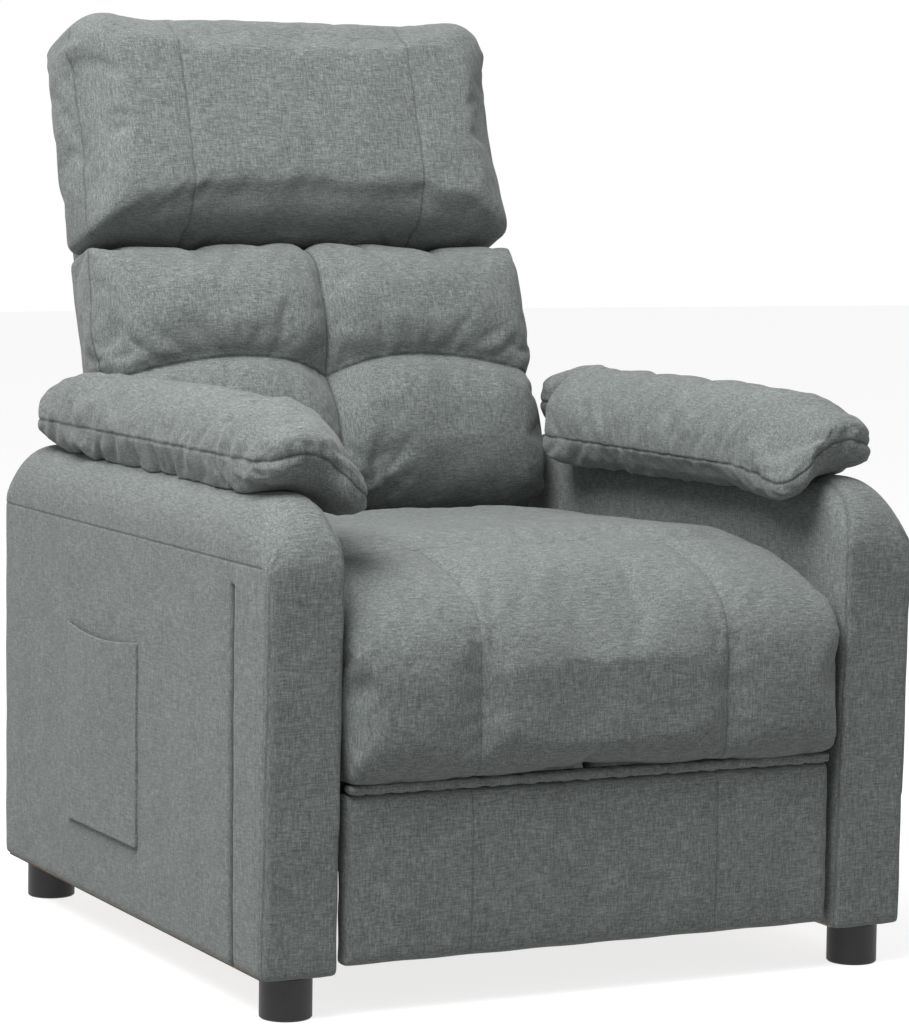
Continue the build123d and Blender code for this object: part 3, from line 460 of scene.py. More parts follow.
def shoulders(points):
    """Rounds the arm's top edges: the outer one widely, the inner one less."""
    x, y, z = points.T
    moved = points.copy()
    for edge, radius, way in SHOULDERS:
        over = np.clip(way * (x - edge) + radius, 0, radius)
        fall = radius - np.sqrt(np.maximum(radius ** 2 - over ** 2, 0))
        near_top = smooth_step((z - (ARM_TOP - 90 * MM)) / (90 * MM))
        moved[:, 2] -= fall * near_top
    return moved


arm = arm_form("arm_cover_left_cloth")
modify(arm, "REMESH", mode="VOXEL", voxel_size=5 * MM)
points, normals = cloth_points(arm)
move_points(arm, shoulders(points))
for loops in range(2):
    modify(arm, "SMOOTH", factor=0.5, iterations=2)
points, normals = cloth_points(arm)
x, y, z = points.T
middle_y, middle_z = (depth(0) + ARM_REAR) / 2, (ARM_LOW + ARM_TOP) / 2
bow = 1 - ((y - middle_y) / (ARM_REAR - middle_y)) ** 4
bow = bow * (1 - ((z - middle_z) / (ARM_TOP - middle_z)) ** 4)
side = np.abs(normals[:, 0]) > 0.7
points[:, 0] += np.where(side & (normals[:, 0] > 0), CROWN * np.clip(bow, 0, 1), 0)
move_points(arm, points)
undulate(arm, 0.7 * MM, 140 * MM)
print("arm form", len(arm.data.vertices), "points")

# %% [markdown]
# The seams follow the arm's outline. The band's seam runs up the front edge and bends back over
# the top, so its distance is measured from the front outline, not from a plane.

# %% Arm seams
def front_distance(points):
    """How far a point lies behind the arm's front outline, round its top corner."""
    x, y, z = points.T
    centre_y, centre_z = depth(-15) + ARM_CORNER, ARM_TOP - ARM_CORNER
    flat = y - (depth(-3) - ARM_FRONT_LEAN * np.clip((z - ARM_LOW) / (centre_z - ARM_LOW), 0, 1))
    corner = ARM_CORNER - np.hypot(y - centre_y, z - centre_z)
    in_corner = (z > centre_z) & (y < centre_y)
    behind_corner = (z > centre_z) & (y >= centre_y)
    return np.where(in_corner, corner, np.where(behind_corner, ARM_TOP - z, flat))


def outside(points):
    """Full on the arm's outer side, none elsewhere."""
    return smooth_step((points[:, 0] - (ARM_OUT - 14 * MM)) / (8 * MM))


def band_gap(points):
    """The band's seam: a line a little inside the front and top outline."""
    return front_distance(points) - 5 * MM


def arm_sides(points):
    """Full on the arm's outer and inner sides near its front, none elsewhere."""
    x, y, z = points.T
    face = smooth_step((np.abs(x - (ARM_IN + ARM_OUT) / 2) - (ARM_OUT - ARM_IN) / 2 + 20 * MM) / (8 * MM))
    return face * (y < depth(150))


soften(arm)
sew(arm, lambda p: p[:, 2] - (ARM_TOP - ARM_SEAM_DROP),
    lambda p: outside(p) * (p[:, 1] > depth(4)), sink=0.8 * MM, width=1.2 * MM, shade=0.4)
sew(arm, lambda p: p[:, 1] - depth(SLIT),
    lambda p: outside(p) * (p[:, 2] < ARM_LOW + SLIT_HEIGHT), sink=4.5 * MM, width=3.2 * MM)
sew(arm, band_gap, arm_sides, sink=1.0 * MM, shade=0.45)
sew(arm, lambda p: front_distance(p) - 10 * MM, lambda p: arm_sides(p) * outside(p),
    sink=0.4 * MM, width=1.2 * MM, shade=0.25)
facing_cloth = arm.copy()
facing_cloth.data = arm.data.copy()
facing_cloth.name = "arm_facing_left_cloth"
bpy.context.collection.objects.link(facing_cloth)


def keep_side(piece, place, across):
    """Cuts a piece by a plane, drops what lies on the plane's far side and closes the cut."""
    only(piece)
    bpy.ops.object.mode_set(mode="EDIT")
    bpy.ops.mesh.select_all(action="SELECT")
    bpy.ops.mesh.bisect(plane_co=place, plane_no=across, use_fill=True, clear_outer=True)
    bpy.ops.object.mode_set(mode="OBJECT")


keep_side(arm, (0, depth(FACING_CUT), 0), (0, -1, 0))
keep_side(facing_cloth, (0, depth(FACING_CUT), 0), (0, 1, 0))
arm_right = mirrored(arm, "arm_cover_right_cloth")
facing_right = mirrored(facing_cloth, "arm_facing_right_cloth")
ARM_PIECES = {
    "arm_cover_left": arm, "arm_cover_right": arm_right,
    "arm_facing_left": facing_cloth, "arm_facing_right": facing_right,
}
for node, piece in ARM_PIECES.items():
    piece.data.materials.clear()
    piece.data.materials.append(cloth)
    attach(piece, "base")
    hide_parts(node)
print("arms done")

# %% [markdown]
# ## Arm pillows
# The pillows are slack fibre-filled bags of a top and a bottom panel, sewn together round their
# middle. Each lies along its arm and sags over the inner edge, and its front end is pinched thin.
# The rough bag is remeshed, laid over the arm by moving its points, filled as cloth, and kept off
# the arm below it.

# %% Arm pillows
PILLOW_LOW, PILLOW_HIGH = (Vector(corner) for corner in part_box("arm_pillow_left"))
PILLOW_SEAM = ARM_TOP + 40 * MM
pillow_in = PILLOW_LOW.x
pillow_out = PILLOW_HIGH.x
pillow_front = PILLOW_LOW.y
pillow_rear = PILLOW_HIGH.y
BACK_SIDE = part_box("headrest_cushion")[1][0]
PILLOW_STEP = depth(590)


def pillow_sag(x):
    """How far the pillow drops at a place across the arm."""
    inner = smooth_step((ARM_IN + 10 * MM - x) / (75 * MM))
    outer = smooth_step((x - (ARM_OUT - 60 * MM)) / (60 * MM))
    return 38 * MM * inner + 12 * MM * outer


def front_dip(x, from_front):
    """How far the pillow's pinched front end drops at its inner corner."""
    return 14 * MM * (1 - smooth_step(from_front / 120)) * smooth_step((ARM_IN + 30 * MM - x) / (60 * MM))


def pillow_shape(points):
    """Lays a straight bag over the arm: sagging inside, pinched at the front and thin behind."""
    x, y, z = points.T
    from_front = (y - pillow_front) / MM
    thick = 0.62 + 0.38 * smooth_step(from_front / 110)
    thick *= 1 - 0.30 * smooth_step((from_front - 560) / 110)
    new_z = PILLOW_SEAM + (z - PILLOW_SEAM) * thick - pillow_sag(x)
    new_z -= front_dip(x, from_front)
    waist = (x - (pillow_in + pillow_out) / 2) * 0.06 * (1 - smooth_step(from_front / 60))
    return np.stack([x - waist, y, new_z], axis=1)


def clear_of_arm(points, gap=1.2 * MM):
    """Pushes points that would sink into the arm back out, over its top or beside its inner face."""
    x, y, z = points.T
    top = np.full(len(points), ARM_TOP)
    for edge, radius, way in SHOULDERS:
        over = np.clip(way * (x - edge) + radius, 0, radius)
        top -= radius - np.sqrt(np.maximum(radius ** 2 - over ** 2, 0))
    along = np.clip(depth(-15) + ARM_CORNER - y, 0, ARM_CORNER)
    top -= ARM_CORNER - np.sqrt(np.maximum(ARM_CORNER ** 2 - along ** 2, 0))
    above = (x > ARM_IN - gap) & (z < top + gap)
    beside = above & (x < ARM_IN + 12 * MM) & (z < top - 12 * MM)
    z = np.where(above & ~beside, top + gap, z)
    x = np.where(beside, ARM_IN - gap, x)
    return np.stack([x, y, z], axis=1)


low_z, high_z = ARM_TOP + 2 * MM, PILLOW_HIGH.z - 8 * MM
bag = block("arm_pillow_left_cloth", (pillow_in + 8 * MM, pillow_front - 2 * MM, low_z),
            (pillow_out + 5 * MM, PILLOW_STEP, high_z))
tail = block("pillow_tail", (BACK_SIDE + 10 * MM, PILLOW_STEP - 90 * MM, low_z),
             (pillow_out + 5 * MM, pillow_rear - 4 * MM, high_z))
for half in (bag, tail):
    round_edges(half, lambda m, d: True, 27 * MM, 5)
pillow = join("arm_pillow_left_cloth", [bag, tail])
modify(pillow, "REMESH", mode="VOXEL", voxel_size=6 * MM)
modify(pillow, "SMOOTH", factor=0.5, iterations=6)
points, normals = cloth_points(pillow)
move_points(pillow, pillow_shape(points))
fill(pillow, lambda p: np.abs(p[:, 2] - (PILLOW_SEAM - pillow_sag(p[:, 0]))) < 3 * MM,
     cap=10 * MM, slack=-0.04)


def pillow_gap(points):
    """Distance from the pillow's seam, which lies level in the bag and sags with it."""
    from_front = (points[:, 1] - pillow_front) / MM
    dip = front_dip(points[:, 0], from_front)
    return points[:, 2] - (PILLOW_SEAM - pillow_sag(points[:, 0]) - dip)


def on_rim(points):
    """Full on the sides and ends of the bag, none on its top and bottom."""
    return smooth_step((20 * MM - np.abs(pillow_gap(points))) / (8 * MM))


valley(pillow, pillow_gap, on_rim, sink=1.5 * MM, width=7 * MM)
pucker(pillow, pillow_gap, lambda p: p[:, 0] + 0.6 * p[:, 1],
       lambda p: 1 - smooth_step((p[:, 1] - pillow_front - 40 * MM) / (120 * MM)), 5 * MM, 26 * MM, 17 * MM)
pucker(pillow, pillow_gap, lambda p: p[:, 1] + p[:, 0], everywhere, 1.6 * MM, 14 * MM, 26 * MM)
undulate(pillow, 1.5 * MM, 70 * MM)
soften(pillow)
sew(pillow, pillow_gap, on_rim, sink=1.2 * MM, shade=0.7)
points, normals = cloth_points(pillow)
move_points(pillow, clear_of_arm(points))
pillow_right = mirrored(pillow, "arm_pillow_right_cloth")
for node, piece in {"arm_pillow_left": pillow, "arm_pillow_right": pillow_right}.items():
    piece.data.materials.clear()
    piece.data.materials.append(cloth)
    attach(piece, "base")
    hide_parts(node)
print("pillows done", len(pillow.data.vertices), "points")

# %% [markdown]
# ## Seat cushion
# The seat is one deep cushion whose front rolls down over the rail. Two seams part the roll into
# three panels, and a cross seam joins it to the top panel. The block's front lower half is
# extruded down, its edges are rounded, and the whole is remeshed and filled.

# %% Seat cushion
SEAT_LOW, SEAT_HIGH = (Vector(corner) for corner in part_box("seat_cushion"))
DECK_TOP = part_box("seat_deck")[1][2]
PANEL_SEAM = 141 * MM
CROSS_SEAM = depth(140)
ROLL_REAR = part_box("seat_cross_rails")[0][1] - 1 * MM
INSET = 7 * MM

slab = block("seat_cushion_cloth", (SEAT_LOW.x + 3 * MM, SEAT_LOW.y + INSET, DECK_TOP),
             (SEAT_HIGH.x - 3 * MM, SEAT_HIGH.y - INSET, SEAT_HIGH.z - INSET))
roll = block("seat_roll", (SEAT_LOW.x + 3 * MM, SEAT_LOW.y + INSET, SEAT_LOW.z - 1 * MM),
             (SEAT_HIGH.x - 3 * MM, ROLL_REAR, SEAT_HIGH.z - 90 * MM))
front_top = SEAT_LOW.y + INSET + 1 * MM
round_edges(slab, lambda m, d: abs(d.x) > 0.9 and m.y < front_top and m.z > DECK_TOP + 0.05, 82 * MM, 14)
round_edges(slab, lambda m, d: abs(d.x) > 0.9 and m.y > 0 and m.z > DECK_TOP + 0.05, 22 * MM, 6)
round_edges(roll, lambda m, d: abs(d.x) > 0.9 and m.y < front_top and m.z < DECK_TOP, 20 * MM, 8)
round_edges(roll, lambda m, d: abs(d.x) > 0.9 and m.y > front_top and m.z < DECK_TOP, 8 * MM, 4)
seat = join("seat_cushion_cloth", [slab, roll])
modify(seat, "REMESH", mode="VOXEL", voxel_size=6 * MM)
modify(seat, "SMOOTH", factor=0.5, iterations=8)
points, normals = cloth_points(seat)
fall = 14 * MM * smooth_step((points[:, 1] - depth(90)) / (480 * MM))
fall += 27 * MM * smooth_step((depth(165) - points[:, 1]) / (150 * MM))
fall += 15 * MM * (np.abs(points[:, 0]) / SEAT_HIGH.x) ** 5
points[:, 2] -= fall * np.clip((points[:, 2] - DECK_TOP - 26 * MM) / (110 * MM), 0, 1)
move_points(seat, points)


def seat_held(points):
    """The underside, the rear end and the sewn lines stay where they are."""
    x, y, z = points.T
    sewn = (np.abs(np.abs(x) - PANEL_SEAM) < 3.5 * MM) & (y < CROSS_SEAM)
    sewn |= (np.abs(y - CROSS_SEAM) < 3.5 * MM) & (z > DECK_TOP + 60 * MM)
    return (z < DECK_TOP + 6 * MM) & (y > ROLL_REAR) | (y > SEAT_HIGH.y - 30 * MM) | sewn


fill(seat, seat_held, cap=9 * MM, slack=-0.015)


def roll_front(points):
    """Full on the rolled front, none behind the cross seam or under the cushion."""
    return smooth_step((CROSS_SEAM + 4 * MM - points[:, 1]) / (6 * MM))


def seat_top(points):
    """Full on the upper face."""
    return smooth_step((points[:, 2] - DECK_TOP - 60 * MM) / (30 * MM))


valley(seat, lambda p: np.abs(p[:, 0]) - PANEL_SEAM, roll_front, sink=1.5 * MM, width=5 * MM,
       swell=2.0 * MM, reach=55 * MM)
valley(seat, lambda p: p[:, 1] - CROSS_SEAM, seat_top, sink=3.5 * MM, width=10 * MM)
pucker(seat, lambda p: np.abs(p[:, 0]) - PANEL_SEAM, lambda p: p[:, 1] + p[:, 2], roll_front, 1.0 * MM,
       16 * MM, 24 * MM)
undulate(seat, 1.2 * MM, 120 * MM)
soften(seat)
sew(seat, lambda p: np.abs(p[:, 0]) - PANEL_SEAM, roll_front, sink=0.7 * MM, width=1.1 * MM, shade=0.35)
sew(seat, lambda p: p[:, 1] - CROSS_SEAM, seat_top, sink=1.5 * MM, width=2.5 * MM, shade=0.5)
seat.data.materials.clear()
seat.data.materials.append(cloth)
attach(seat, "seat")
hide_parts("seat_cushion")
print("seat done", len(seat.data.vertices), "points")

# %% [markdown]
# ## Back cushions
# The back leans, so its cushions are easier to model upright, with Z up the lean and Y through the
# cushion, and laid back at the end by one turn about the foot of the back. The headrest is a plain
# bolster with two seams. The lumbar cushion is tufted: an upright seam and a bowed cross seam meet
# in a deep dimple, and the four quarters bulge between them.

# %% Back frame of reference
hinge = next(joint for joint in frame["joints"] if joint["name"] == "back_recline")
BACK_FOOT = Vector(hinge["pos_m"]) + Vector((0, -35 * MM, 225 * MM))
LAY_BACK = Matrix.Translation(BACK_FOOT) @ Matrix.Rotation(-BACK_LEAN, 4, "X")
BACK_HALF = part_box("headrest_cushion")[1][0]
GUSSET = 12 * MM


def lay_back(piece):
    """Turns an upright back piece to the chair's lean, with its place in its mesh."""
    only(piece)
    piece.data.transform(LAY_BACK)
    piece.data.update()


def crown(points, half, low, high, lift):
    """Bows the front of an upright cushion forwards between its edges."""
    x, y, z = points.T
    across = 1 - np.clip(np.abs(x) / half, 0, 1) ** 3
    up = 1 - np.clip(np.abs((z - (low + high) / 2) / ((high - low) / 2)), 0, 1) ** 3
    ahead = smooth_step((60 * MM - y) / (60 * MM))
    points[:, 1] -= lift * across * up * ahead
    return points


print("back foot", [round(value, 4) for value in BACK_FOOT])

# %% Headrest
HEAD_LOW, HEAD_HIGH = 330 * MM, 612 * MM
HEAD_SEAM = 147 * MM
head = block("headrest_cloth", (-BACK_HALF + 6 * MM, -20 * MM, HEAD_LOW + 2 * MM),
             (BACK_HALF - 6 * MM, 94 * MM, HEAD_HIGH - 6 * MM))
round_edges(head, lambda m, d: abs(d.y) > 0.9 and m.z > 0.5, 44 * MM, 8)
round_edges(head, lambda m, d: abs(d.z) > 0.9 and m.y > 90 * MM, 24 * MM, 5)
round_edges(head, lambda m, d: abs(d.y) < 0.1 and m.y < -19 * MM, 34 * MM, 10)
modify(head, "REMESH", mode="VOXEL", voxel_size=6 * MM)
modify(head, "SMOOTH", factor=0.5, iterations=6)
points, normals = cloth_points(head)
x, y, z = points.T
corner = np.clip((np.abs(x) - (BACK_HALF - 75 * MM)) / (75 * MM), 0, 1)
high = np.clip((z - (HEAD_HIGH - 80 * MM)) / (80 * MM), 0, 1)
points[:, 2] -= 6 * MM * corner ** 2 * high
move_points(head, crown(points, BACK_HALF, HEAD_LOW, HEAD_HIGH, 10 * MM))
fill(head, lambda p: p[:, 1] > 85 * MM, cap=9 * MM, slack=-0.01)


def head_side(points):
    """Full on the headrest's two ends."""
    return smooth_step((np.abs(points[:, 0]) - (BACK_HALF - 26 * MM)) / (12 * MM))


def not_behind(points):
    """Full in front, none on the hidden rear face."""
    return smooth_step((88 * MM - points[:, 1]) / (10 * MM))


valley(head, lambda p: np.abs(p[:, 0]) - HEAD_SEAM, not_behind, sink=0.8 * MM, width=6 * MM,
       swell=1.2 * MM, reach=60 * MM)
pucker(head, lambda p: p[:, 1] - GUSSET, lambda p: p[:, 2],
       lambda p: head_side(p) * smooth_step((p[:, 2] - HEAD_HIGH + 120 * MM) / (60 * MM)),
       6 * MM, 26 * MM, 24 * MM)
undulate(head, 1.3 * MM, 110 * MM)
soften(head)
sew(head, lambda p: np.abs(p[:, 0]) - HEAD_SEAM, not_behind, sink=0.9 * MM, width=1.2 * MM, shade=0.45)
sew(head, lambda p: p[:, 1] - GUSSET, head_side, sink=1.2 * MM, shade=0.5)
lay_back(head)
print("headrest done", len(head.data.vertices), "points")

# %% Lumbar cushion
LUMBAR_LOW, LUMBAR_HIGH = 8 * MM, 324 * MM
TUFT = 158 * MM
lumbar = block("lumbar_cloth", (-BACK_HALF + 6 * MM, -18 * MM, LUMBAR_LOW + 4 * MM),
               (BACK_HALF - 6 * MM, 94 * MM, LUMBAR_HIGH - 2 * MM))
round_edges(lumbar, lambda m, d: abs(d.x) > 0.9 and m.y < 0, 42 * MM, 8)
round_edges(lumbar, lambda m, d: abs(d.z) > 0.5 and m.y < 0.01, 28 * MM, 6)
round_edges(lumbar, lambda m, d: abs(d.z) > 0.9 and m.y > 90 * MM, 24 * MM, 5)
tuck = block("lumbar_tuck", (-BACK_HALF + 6 * MM, 48 * MM, -108 * MM),
             (BACK_HALF - 6 * MM, 94 * MM, 60 * MM))
round_edges(tuck, lambda m, d: abs(d.z) > 0.9 and m.y > 90 * MM, 24 * MM, 5)
lumbar = join("lumbar_cloth", [lumbar, tuck])
modify(lumbar, "REMESH", mode="VOXEL", voxel_size=6 * MM)
modify(lumbar, "SMOOTH", factor=0.5, iterations=6)


def cross_seam(x):
    """The bowed cross seam: low at the tuft and the ends, high between."""
    share = np.clip(np.abs(x) / BACK_HALF, 0, 1)
    return TUFT + 22 * MM * np.sin(math.pi * share ** 0.85) - 4 * MM * share


def lumbar_front(points):
    """Full on the front of the lumbar cushion, none on its tuck and rear."""
    return smooth_step((46 * MM - points[:, 1]) / (20 * MM))


def lumbar_gap(points):
    """Distance from the bowed cross seam."""
    return points[:, 2] - cross_seam(points[:, 0])


def lumbar_held(points):
    """The sewn lines in front, the rear and the tuck stay where they are."""
    x, y, z = points.T
    sewn = (np.abs(x) < 3.5 * MM) | (np.abs(lumbar_gap(points)) < 3.5 * MM)
    return sewn & (y < 40 * MM) | (y > 60 * MM) | (z < 0)


points, normals = cloth_points(lumbar)
move_points(lumbar, crown(points, BACK_HALF, LUMBAR_LOW, LUMBAR_HIGH, 8 * MM))
fill(lumbar, lumbar_held, cap=12 * MM, slack=-0.03)
valley(lumbar, lambda p: p[:, 0], lumbar_front, sink=7 * MM, width=8 * MM, swell=4 * MM, reach=60 * MM)
valley(lumbar, lumbar_gap, lumbar_front, sink=7 * MM, width=8 * MM, swell=4 * MM, reach=50 * MM)
points, normals = cloth_points(lumbar)
radius = np.hypot(points[:, 0], points[:, 2] - TUFT)
points[:, 1] += 15 * MM * np.exp(-(radius / (38 * MM)) ** 2) * lumbar_front(points)
move_points(lumbar, points)
pucker(lumbar, lambda p: np.hypot(p[:, 0], p[:, 2] - TUFT),
       lambda p: np.arctan2(p[:, 2] - TUFT, p[:, 0]) * 30 * MM, lumbar_front, 3 * MM, 40 * MM, 24 * MM)
pucker(lumbar, lumbar_gap, lambda p: p[:, 0], lumbar_front, 1.2 * MM, 18 * MM, 22 * MM)
undulate(lumbar, 1.2 * MM, 100 * MM)
soften(lumbar)
sew(lumbar, lambda p: p[:, 0], lumbar_front, sink=1.6 * MM, shade=0.75)
sew(lumbar, lumbar_gap, lumbar_front, sink=1.6 * MM, shade=0.75)
sew(lumbar, lambda p: p[:, 1] - GUSSET, lambda p: head_side(p) * (p[:, 2] > 0), sink=1.2 * MM, shade=0.7)
lay_back(lumbar)
print("lumbar done", len(lumbar.data.vertices), "points")

# %% [markdown]
# ## Outside back
# Behind the cushions a cloth shell goes round the timber: two side gussets, a top and a flat rear
# panel with a hem at the bottom. It is the frame's own tray, so the same sizes are used, with soft
# corners and a shallow crown on the rear. Beside the posts' shoes its sides are left open, so
# that the hinge brackets have room.

# %% Outside back
BACK_REAR = 163 * MM
BACK_LOW = -170 * MM
COVER = 6 * MM
COVER_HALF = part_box("back_cover")[1][0]
SHOE_TOP = -20 * MM
back = block("outside_back_cloth", (-COVER_HALF, 96.5 * MM, BACK_LOW),
             (COVER_HALF, BACK_REAR, HEAD_HIGH - 4 * MM))
round_edges(back, lambda m, d: abs(d.z) > 0.9 and m.y > 0.13, 30 * MM, 8)
round_edges(back, lambda m, d: abs(d.z) < 0.3 and m.z > 0.6 and m.y > 0.1, 22 * MM, 6)
only(back)
bpy.ops.object.mode_set(mode="EDIT")
bpy.ops.mesh.select_all(action="SELECT")
bpy.ops.mesh.bisect(plane_co=(0, 0, SHOE_TOP), plane_no=(0, 0, 1), use_fill=False)
bpy.ops.mesh.select_mode(type="FACE")
bpy.ops.mesh.select_all(action="DESELECT")
form = bmesh.from_edit_mesh(back.data)
for face in form.faces:
    middle = face.calc_center_median()
    open_front = face.normal.y < -0.9 or face.normal.z < -0.9
    face.select_set(open_front or (abs(face.normal.x) > 0.95 and middle.z < SHOE_TOP))
bmesh.update_edit_mesh(back.data)
bpy.ops.mesh.delete(type="FACE")
bpy.ops.object.mode_set(mode="OBJECT")
modify(back, "SUBSURF", subdivision_type="SIMPLE", levels=4, render_levels=4)
points, normals = cloth_points(back)
x, y, z = points.T
bow = (1 - np.clip(np.abs(x) / COVER_HALF, 0, 1) ** 4) * np.clip(1 - np.abs((z - 0.22) / 0.42) ** 4, 0, 1)
points[:, 1] += np.where(y > BACK_REAR - 8 * MM, 4 * MM * bow, 0)
move_points(back, points)
undulate(back, 0.8 * MM, 150 * MM)
modify(back, "SOLIDIFY", thickness=COVER - 1 * MM, offset=-1)
skirt = block("skirt", (-COVER_HALF + 5 * MM, BACK_REAR - 5.5 * MM, BACK_LOW - 98 * MM),
              (COVER_HALF - 5 * MM, BACK_REAR - 1 * MM, BACK_LOW + 12 * MM))
round_edges(skirt, lambda m, d: abs(d.y) < 0.5, 1.5 * MM, 3)
back = join("outside_back_cloth", [back, skirt])
only(back)
bpy.ops.object.shade_smooth_by_angle(angle=math.radians(40))
lay_back(back)
for node, piece, tightness in (("headrest_cushion", head, 0.75), ("lumbar_cushion", lumbar, 0.7),
                               ("back_cover", back, 0.9)):
    piece.data.materials.clear()
    piece.data.materials.append(cloth_on_back)
    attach(piece, "back")
    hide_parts(node)
print("back done", len(back.data.vertices), "points")

# %% [markdown]
# ## Footrest
# The footrest is a board under thin padding, covered in three panels like the roll above it, with
# a gathered roll of cloth along its upper edge that meets the seat when it is folded.

# %% Footrest pad
REST_LOW, REST_HIGH = (Vector(corner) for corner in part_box("footrest_pad"))
BOARD_LOW, BOARD_HIGH = (Vector(corner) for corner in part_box("footrest_board"))
pad = block("footrest_cloth", REST_LOW, REST_HIGH)
round_edges(pad, lambda m, d: m.y < REST_LOW.y + 1 * MM, 8 * MM, 4)
nest = block("nest", BOARD_LOW - Vector((0.5 * MM, 0.5 * MM, 0.5 * MM)),
             BOARD_HIGH + Vector((0.5 * MM, 10 * MM, 0.5 * MM)))
modify(pad, "BOOLEAN", operation="DIFFERENCE", object=nest, solver="EXACT")
bpy.data.objects.remove(nest)
modify(pad, "REMESH", mode="VOXEL", voxel_size=3.5 * MM)
modify(pad, "SMOOTH", factor=0.5, iterations=3)
rest_front = lambda p: smooth_step((REST_LOW.y + 8 * MM - p[:, 1]) / (5 * MM))
points, normals = cloth_points(pad)
x, y, z = points.T
across = 1 - np.clip(np.abs(x) / REST_HIGH.x, 0, 1) ** 4
up = 1 - np.clip(np.abs(z - (REST_LOW.z + REST_HIGH.z) / 2) / ((REST_HIGH.z - REST_LOW.z) / 2), 0, 1) ** 3
points[:, 1] -= 5 * MM * across * up * rest_front(points)
move_points(pad, points)
undulate(pad, 0.9 * MM, 80 * MM)
soften(pad)
sew(pad, lambda p: np.abs(p[:, 0]) - PANEL_SEAM, rest_front, sink=0.7 * MM, width=1.1 * MM, shade=0.35)

# %% Footrest top roll
ROLL_LOW, ROLL_HIGH = (Vector(corner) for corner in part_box("footrest_top_roll"))
strip = block("footrest_roll_cloth", ROLL_LOW, ROLL_HIGH)
round_edges(strip, lambda m, d: abs(d.x) > 0.9, 4.6 * MM, 5)
modify(strip, "REMESH", mode="VOXEL", voxel_size=2.5 * MM)
modify(strip, "SMOOTH", factor=0.5, iterations=2)
points, normals = cloth_points(strip)
gather = unevenness(points[:, 0] + 0.5 * points[:, 1], 21 * MM) - 0.5
gather += 0.6 * (unevenness(points[:, 0] - 0.8 * points[:, 2], 9 * MM) - 0.5)
move_points(strip, points + normals * (1.6 * MM * gather)[:, None])
soften(strip)
for node, piece, tightness in (("footrest_pad", pad, 0.85), ("footrest_top_roll", strip, 0.6)):
    piece.data.materials.clear()
    piece.data.materials.append(cloth)
    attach(piece, "footrest")
    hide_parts(node)
print("footrest done", len(pad.data.vertices), len(strip.data.vertices), "points")

# %% [markdown]
# ## Side pocket
# A patch of the same cloth, sewn to the right arm on three sides, with its hemmed mouth standing a
# little open at the top.

# %% Side pocket
POCKET_LOW, POCKET_HIGH = (Vector(corner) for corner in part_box("side_pocket"))
ARM_FACE = -ARM_OUT
patch = block("side_pocket_cloth", POCKET_LOW, (ARM_FACE, POCKET_HIGH.y, POCKET_HIGH.z))
mouth = block("mouth", (POCKET_LOW.x + 2 * MM, POCKET_LOW.y + 2.5 * MM, POCKET_LOW.z + 2.5 * MM),
              (ARM_FACE + 5 * MM, POCKET_HIGH.y - 2.5 * MM, POCKET_HIGH.z + 10 * MM))
modify(patch, "BOOLEAN", operation="DIFFERENCE", object=mouth, solver="EXACT")
bpy.data.objects.remove(mouth)
modify(patch, "REMESH", mode="VOXEL", voxel_size=0.9 * MM)
points, normals = cloth_points(patch)
x, y, z = points.T
along = np.clip((y - POCKET_LOW.y) / (POCKET_HIGH.y - POCKET_LOW.y), 0, 1)
high = smooth_step((z - POCKET_LOW.z) / (POCKET_HIGH.z - POCKET_LOW.z))
belly = np.sin(math.pi * along) ** 0.7 * high
points[:, 0] = ARM_FACE - (ARM_FACE - x) * (0.55 + 0.6 * belly)
points[:, 2] -= 7 * MM * np.sin(math.pi * along) * smooth_step((z - POCKET_HIGH.z + 40 * MM) / (40 * MM))
move_points(patch, points)
modify(patch, "SMOOTH", factor=0.5, iterations=2)
modify(patch, "DECIMATE", ratio=0.25)
only(patch)
bpy.ops.object.shade_smooth()
patch.data.materials.clear()
patch.data.materials.append(cloth)
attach(patch, "base")
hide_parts("side_pocket")
print("pocket done", len(patch.data.polygons), "faces")

# %% [markdown]
# ## Hard finishes
# The frame's own hard parts have the right shape, so they keep their meshes and get real finishes:
# powder-coated steel links, zinc-plated pins and screws, planed pine, birch plywood, hardboard,
# oiled spring wire, needle felt, elastic webbing and moulded black polypropylene feet.

# %% Finishes for the hard parts
def speckled(name, dark, light, size_mm, roughness, bump, metallic=0.0, stretch=(1, 1, 1)):
    """A finish whose colour and relief follow one noise of a real size, stretched along an axis."""
    material, tree, shader, place = start(name)
    scaled = add(tree, "ShaderNodeMapping", Vector=place.outputs["Object"], Scale=stretch)
    noise = add(tree, "ShaderNodeTexNoise", Vector=scaled.outputs[0], Scale=1 / (size_mm * MM), Detail=4.0)
    ramp = add(tree, "ShaderNodeValToRGB", Fac=noise.outputs[0])
    ramp.color_ramp.elements[0].position = 0.3
    ramp.color_ramp.elements[0].color = linear(dark)
    ramp.color_ramp.elements[1].position = 0.7
    ramp.color_ramp.elements[1].color = linear(light)
    tree.links.new(ramp.outputs[0], shader.inputs["Base Color"])
    relief = add(tree, "ShaderNodeBump", Height=noise.outputs[0], Strength=bump, Distance=0.3 * MM)
    tree.links.new(relief.outputs[0], shader.inputs["Normal"])
    shader.inputs["Roughness"].default_value = roughness
    shader.inputs["Metallic"].default_value = metallic
    return material


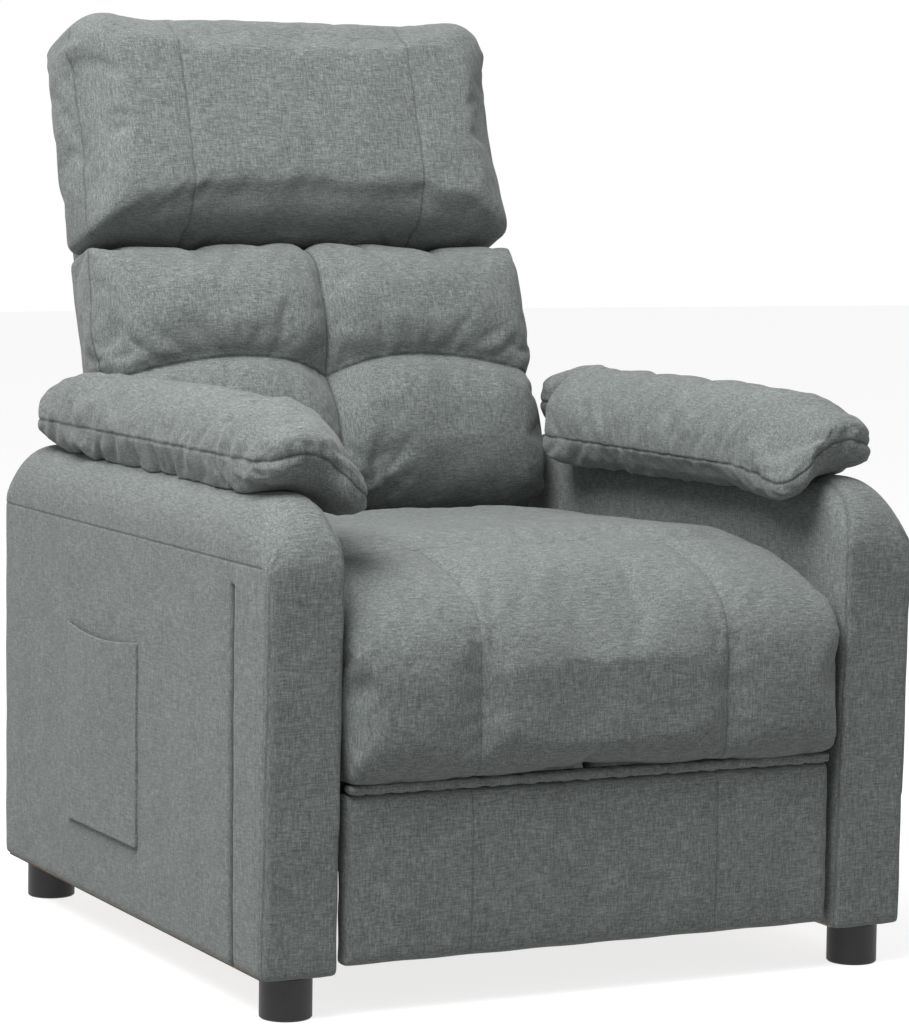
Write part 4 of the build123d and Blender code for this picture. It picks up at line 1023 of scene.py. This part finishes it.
FINISHES = {
    "link_steel": speckled("black_powder_coated_steel", "#191A1B", "#232425", 1.2, 0.45, 0.25),
    "zinc_steel": speckled("zinc_plated_steel", "#9A9C9E", "#C4C6C8", 3.0, 0.32, 0.1, 1.0),
    "spring_steel": speckled("oiled_spring_wire", "#4B4A48", "#6A6866", 2.0, 0.35, 0.1, 1.0),
    "timber": speckled("planed_pine", "#B98E5C", "#D9B684", 6.0, 0.6, 0.2, 0.0, (0.12, 0.12, 1)),
    "plywood": speckled("birch_plywood", "#BFA077", "#DCC39B", 5.0, 0.6, 0.15, 0.0, (1, 0.1, 0.1)),
    "hardboard": speckled("pressed_hardboard", "#6B4A2D", "#83603E", 1.0, 0.75, 0.2),
    "felt": speckled("grey_needle_felt", "#77776F", "#9A9A92", 2.5, 0.95, 0.5),
    "elastic": speckled("black_elastic_webbing", "#141414", "#2A2A2A", 1.5, 0.85, 0.5, 0.0, (1, 0.2, 0.2)),
    "foot_plastic": speckled("moulded_black_polypropylene", "#121213", "#19191A", 0.8, 0.5, 0.08),
}
slots = {entry["node"]: entry["material_slot"] for entry in frame["record"]["subparts"]}
finished = 0
for node, slot in slots.items():
    thing = bpy.data.objects.get(node)
    if thing is not None and slot in FINISHES:
        thing.data.materials.clear()
        thing.data.materials.append(FINISHES[slot])
        finished += 1
print("finished", finished, "hard nodes")

# %% [markdown]
# ## Studio
# A pale seamless floor, a bright even surround, one broad light from the upper left behind the
# camera and a soft fill from the right, as for a catalogue picture.

# %% Studio
bpy.ops.object.select_all(action="DESELECT")
bpy.ops.mesh.primitive_plane_add(size=30)
floor = bpy.context.object
floor.name = "studio_floor"
paper, tree, shader, place = start("matt_white_paper")
shader.inputs["Base Color"].default_value = linear("#A8A8A8")
shader.inputs["Emission Color"].default_value = linear("#FFFFFF")
shader.inputs["Emission Strength"].default_value = 0.78
shader.inputs["Roughness"].default_value = 0.9
floor.data.materials.append(paper)
floor.visible_diffuse = False

world = bpy.context.scene.world or bpy.data.worlds.new("studio")
bpy.context.scene.world = world
world.use_nodes = True
sky = world.node_tree.nodes["Background"]
sky.inputs["Color"].default_value = linear("#FFFFFF")
sky.inputs["Strength"].default_value = 0.36
backdrop = add(world.node_tree, "ShaderNodeBackground", Color=linear("#FFFFFF"), Strength=1.0)
seen = add(world.node_tree, "ShaderNodeLightPath")
split = add(world.node_tree, "ShaderNodeMixShader")
world.node_tree.links.new(seen.outputs["Is Camera Ray"], split.inputs[0])
world.node_tree.links.new(sky.outputs[0], split.inputs[1])
world.node_tree.links.new(backdrop.outputs[0], split.inputs[2])
world.node_tree.links.new(split.outputs[0], world.node_tree.nodes["World Output"].inputs["Surface"])


def softbox(name, place, aim, size, watts):
    """A square soft light that points at a place."""
    light = bpy.data.lights.new(name, "AREA")
    light.size = size
    light.energy = watts
    lamp = bpy.data.objects.new(name, light)
    lamp.location = place
    lamp.rotation_euler = (Vector(aim) - Vector(place)).to_track_quat("-Z", "Y").to_euler()
    bpy.context.collection.objects.link(lamp)


softbox("key", (-1.6, -1.0, 3.4), (0, 0, 0.4), 2.2, 160)
softbox("rim", (1.5, 2.0, 2.6), (0, 0.2, 0.7), 1.6, 12)
bpy.context.scene.view_settings.view_transform = "Standard"

# %% [markdown]
# ## Camera
# A long lens from the chair's front right, a little above seat height.

# %% Camera
camera_data = bpy.data.cameras.new("camera")
camera_data.lens = 130.5
camera_data.clip_end = 100
camera = bpy.data.objects.new("camera", camera_data)
bpy.context.collection.objects.link(camera)
yaw, pitch, tilt = math.radians(26.53), math.radians(5.45), math.radians(0.74)
aim = Matrix.Rotation(-yaw, 4, "Z") @ Matrix.Rotation(math.pi / 2 - pitch, 4, "X")
aim = aim @ Matrix.Rotation(tilt, 4, "Z")
camera.matrix_world = Matrix.Translation((-1792.3 * MM, depth(-3259.9), 845.3 * MM)) @ aim
bpy.context.scene.camera = camera
